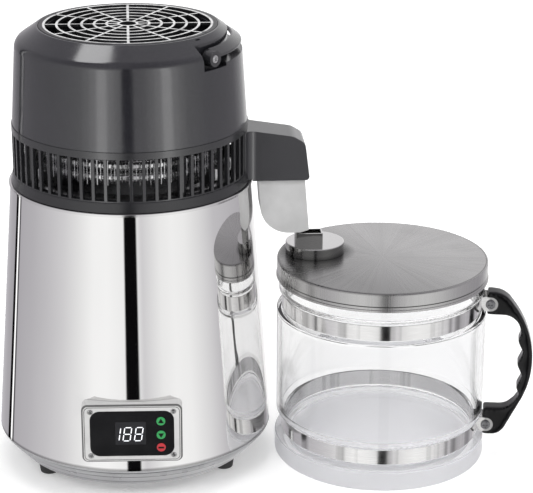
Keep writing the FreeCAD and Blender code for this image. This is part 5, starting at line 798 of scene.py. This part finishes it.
# Brightness that mirrors see, by azimuth from the front in degrees, positive to the right
ROOM = [
    (-180, 0.66), (-162, 0.55), (-145, 0.47), (-137.6, 0.46),                   # wall behind
    (-137.2, 0.0), (-131.2, 0.0), (-130.8, 1.5), (-129.0, 1.5),                 # gap and strip
    (-128.6, 0.05), (-126.0, 0.10), (-125.6, 0.50), (-105, 0.56),               # narrow gap
    (-81, 0.68), (-65, 0.79), (-49, 0.97), (-36, 1.12), (-24, 1.13),            # left wall
    (-8.2, 1.05), (-7.5, 0.004), (3.4, 0.004), (4.1, 0.95),                     # gap in front
    (8, 0.78), (24, 1.05), (36, 1.13), (48, 1.08), (65, 0.88), (81, 0.66),      # right wall
    (125, 0.50), (145, 0.80), (158, 1.05), (180, 0.9),                          # wall behind
]
HIGH_ROOM = [(-180, 0.56), (-60, 0.34), (-42, 0.44), (-12, 0.44),
             (10, 0.32), (60, 0.44), (140, 0.66), (180, 0.56)]
WALL_TOP = math.sin(math.radians(14))
CEILING = math.sin(math.radians(34))
DARK_COOLNESS = 0.06                # how much bluer the dark panels are
FILL = 0.62


class World:
    """Room of white panels: the camera sees white, mirrors see the panels and their gaps."""

    def __init__(self):
        world = bpy.data.worlds.new("studio")
        bpy.context.scene.world = world
        world.use_nodes = True
        self.tree = world.node_tree
        self.tree.nodes.clear()

    def add(self, kind):
        return self.tree.nodes.new(kind)

    def calculate(self, operation, *values):
        made = self.add("ShaderNodeMath")
        made.operation = operation
        for socket, value in zip(made.inputs, values):
            if isinstance(value, (int, float)):
                socket.default_value = value
            else:
                self.tree.links.new(value, socket)
        return made.outputs[0]

    def ramp(self, share, stops):
        """Brightness stops, by azimuth in degrees, as a colour ramp over the whole turn."""
        made = self.add("ShaderNodeValToRGB")
        elements = made.color_ramp.elements
        elements.remove(elements[-1])
        for index, (azimuth, value) in enumerate(stops):
            position = azimuth / 360 + 0.5
            element = elements[0] if index == 0 else elements.new(position)
            element.position = position
            cool = max(0.0, 1.0 - value) * DARK_COOLNESS
            element.color = (value, value * (1 - cool), value * (1 + cool), 1)
        self.tree.links.new(share, made.inputs[0])
        return made.outputs[0]

    def panels(self):
        """Colour seen along a direction: the level room, blending into the ceiling's."""
        way = self.add("ShaderNodeTexCoord")
        split = self.add("ShaderNodeSeparateXYZ")
        self.tree.links.new(way.outputs["Generated"], split.inputs[0])
        front = self.calculate("MULTIPLY", split.outputs["Y"], -1.0)
        azimuth = self.calculate("ARCTAN2", split.outputs["X"], front)
        share = self.calculate("ADD", self.calculate("DIVIDE", azimuth, 2 * math.pi), 0.5)
        rise = self.add("ShaderNodeMapRange")
        self.tree.links.new(split.outputs["Z"], rise.inputs["Value"])
        rise.inputs["From Min"].default_value = WALL_TOP
        rise.inputs["From Max"].default_value = CEILING
        mix = self.add("ShaderNodeMix")
        mix.data_type = "RGBA"
        self.tree.links.new(rise.outputs["Result"], mix.inputs[0])
        colours = [socket for socket in mix.inputs if socket.type == "RGBA"]
        self.tree.links.new(self.ramp(share, ROOM), colours[0])
        self.tree.links.new(self.ramp(share, HIGH_ROOM), colours[1])
        return [socket for socket in mix.outputs if socket.type == "RGBA"][0]

    def light(self, strength, colour=None):
        made = self.add("ShaderNodeBackground")
        made.inputs[0].default_value = (1, 1, 1, 1)
        made.inputs[1].default_value = strength
        if colour is not None:
            self.tree.links.new(colour, made.inputs[0])
        return made.outputs[0]

    def choose(self, factor, first, second):
        """The first light, or the second where the factor is 1."""
        made = self.add("ShaderNodeMixShader")
        for value, socket in zip((factor, first, second), made.inputs):
            self.tree.links.new(value, socket)
        return made.outputs[0]

    def build(self):
        """Camera and glass see plain white, mirrors see the panels, and all else gets the fill."""
        rays = self.add("ShaderNodeLightPath")
        seen = self.calculate("MAXIMUM", rays.outputs["Is Camera Ray"],
                              rays.outputs["Is Transmission Ray"])
        rest = self.choose(rays.outputs["Is Glossy Ray"],
                           self.light(FILL), self.light(1.0, self.panels()))
        out = self.add("ShaderNodeOutputWorld")
        self.tree.links.new(self.choose(seen, rest, self.light(1.0)), out.inputs[0])


# ---------------------------------------------------------------- lamps

LAMPS = (       # name, place, target, side, watts
    ("key_lamp", (-1.6, -2.0, 2.4), (0.05, 0, 0.15), 1.6, 42),
    ("fill_lamp", (2.2, -1.4, 2.0), (0.08, 0, 0.15), 1.6, 30),
    ("top_lamp", (0.1, 0.6, 2.8), (0.1, 0, 0.1), 2.2, 32),
)
STRIP_MIDDLE = Vector((0, 0, 0.3))
STRIP_DISTANCE = 2.6
STRIP_DROP = math.radians(11)
STRIP_SIDES = (("left", -26.5), ("right", 36))      # azimuth from the front, in degrees
STRIP_NEST = ((10, 1.9), (24, 0.6), (38, 0.22))     # width in degrees, share of the light
STRIP_LIGHT = 0.9
STRIP_TALL = 2.4
SHOULDER_PLACE = (-0.75, 0.35, 2.7)
SHOULDER_TARGET = (0, 0, 0.36)
SHOULDER_SIZE = (1.35, 0.8)
SHOULDER_WATTS = 16.0


def soft_lamp(name, place, target, size, power, receivers=None):
    """Area lamp; mirrors see it only where it serves a group of receivers alone."""
    lamp = bpy.data.lights.new(name, "AREA")
    lamp.shape = "RECTANGLE"
    lamp.size, lamp.size_y = size
    lamp.energy = power
    holder = bpy.data.objects.new(name, lamp)
    bpy.context.scene.collection.objects.link(holder)
    holder.location = place
    aim = Vector(target) - Vector(place)
    holder.rotation_euler = aim.to_track_quat("-Z", "Y").to_euler()
    holder.visible_camera = False
    holder.visible_transmission = False
    holder.visible_glossy = receivers is not None
    if receivers is not None:
        holder.light_linking.receiver_collection = receivers


def plastic_receivers():
    """Collection of the glossy dark plastics, which the strip lamps light alone."""
    group = bpy.data.collections.new("glossy_plastics")
    for material in (cover_plastic, ring_plastic, spout_plastic, handle_plastic):
        for member in FINISH[material]:
            group.objects.link(nodes[member])
    return group


def strip_lamps():
    """Nested tall strips left and right of the front, and a softbox over the shoulder."""
    receivers = plastic_receivers()
    for side, azimuth in STRIP_SIDES:
        angle = math.radians(azimuth)
        way = Vector((math.sin(angle) * math.cos(STRIP_DROP),
                      -math.cos(angle) * math.cos(STRIP_DROP), -math.sin(STRIP_DROP)))
        for index, (width, share) in enumerate(STRIP_NEST):
            wide = 2 * STRIP_DISTANCE * math.tan(math.radians(width / 2))
            power = STRIP_LIGHT * share * math.pi * wide * STRIP_TALL
            soft_lamp(f"strip_{side}_{index}", STRIP_MIDDLE + STRIP_DISTANCE * way, STRIP_MIDDLE,
                      (wide, STRIP_TALL), power, receivers)
    soft_lamp("shoulder_box", SHOULDER_PLACE, SHOULDER_TARGET, SHOULDER_SIZE, SHOULDER_WATTS,
              receivers)


# ---------------------------------------------------------------- camera

PICTURE_W = 533
SENSOR_W = 36.0
FOCAL_LENGTH = 1997.13 / PICTURE_W * SENSOR_W
CAMERA_PLACE = (0.00039, -1.57296, 0.74378)
CAMERA_YAW = 0.0709079              # 4.1 degrees to the right
CAMERA_PITCH = 0.3440604            # 19.7 degrees down
CAMERA_ROLL = 0.0032611


def add_camera():
    """Long-lens camera, turned by its roll about the way it looks."""
    camera = bpy.data.cameras.new("camera")
    holder = bpy.data.objects.new("camera", camera)
    bpy.context.scene.collection.objects.link(holder)
    bpy.context.scene.camera = holder
    camera.sensor_width = SENSOR_W
    camera.lens = FOCAL_LENGTH
    camera.clip_start = 0.05
    camera.clip_end = 60.0
    ahead = Vector((math.sin(CAMERA_YAW) * math.cos(CAMERA_PITCH),
                    math.cos(CAMERA_YAW) * math.cos(CAMERA_PITCH), -math.sin(CAMERA_PITCH)))
    right = Vector((math.cos(CAMERA_YAW), -math.sin(CAMERA_YAW), 0))
    above = right.cross(ahead)
    side = right * math.cos(CAMERA_ROLL) + above * math.sin(CAMERA_ROLL)
    up = above * math.cos(CAMERA_ROLL) - right * math.sin(CAMERA_ROLL)
    turn = Matrix((side, up, -ahead)).transposed().to_4x4()
    holder.matrix_world = Matrix.Translation(CAMERA_PLACE) @ turn


bpy.context.scene.view_settings.view_transform = "Standard"
stage_floor()
World().build()
for name, place, target, side, watts in LAMPS:
    soft_lamp(name, place, target, (side, side), watts)
strip_lamps()
add_camera()
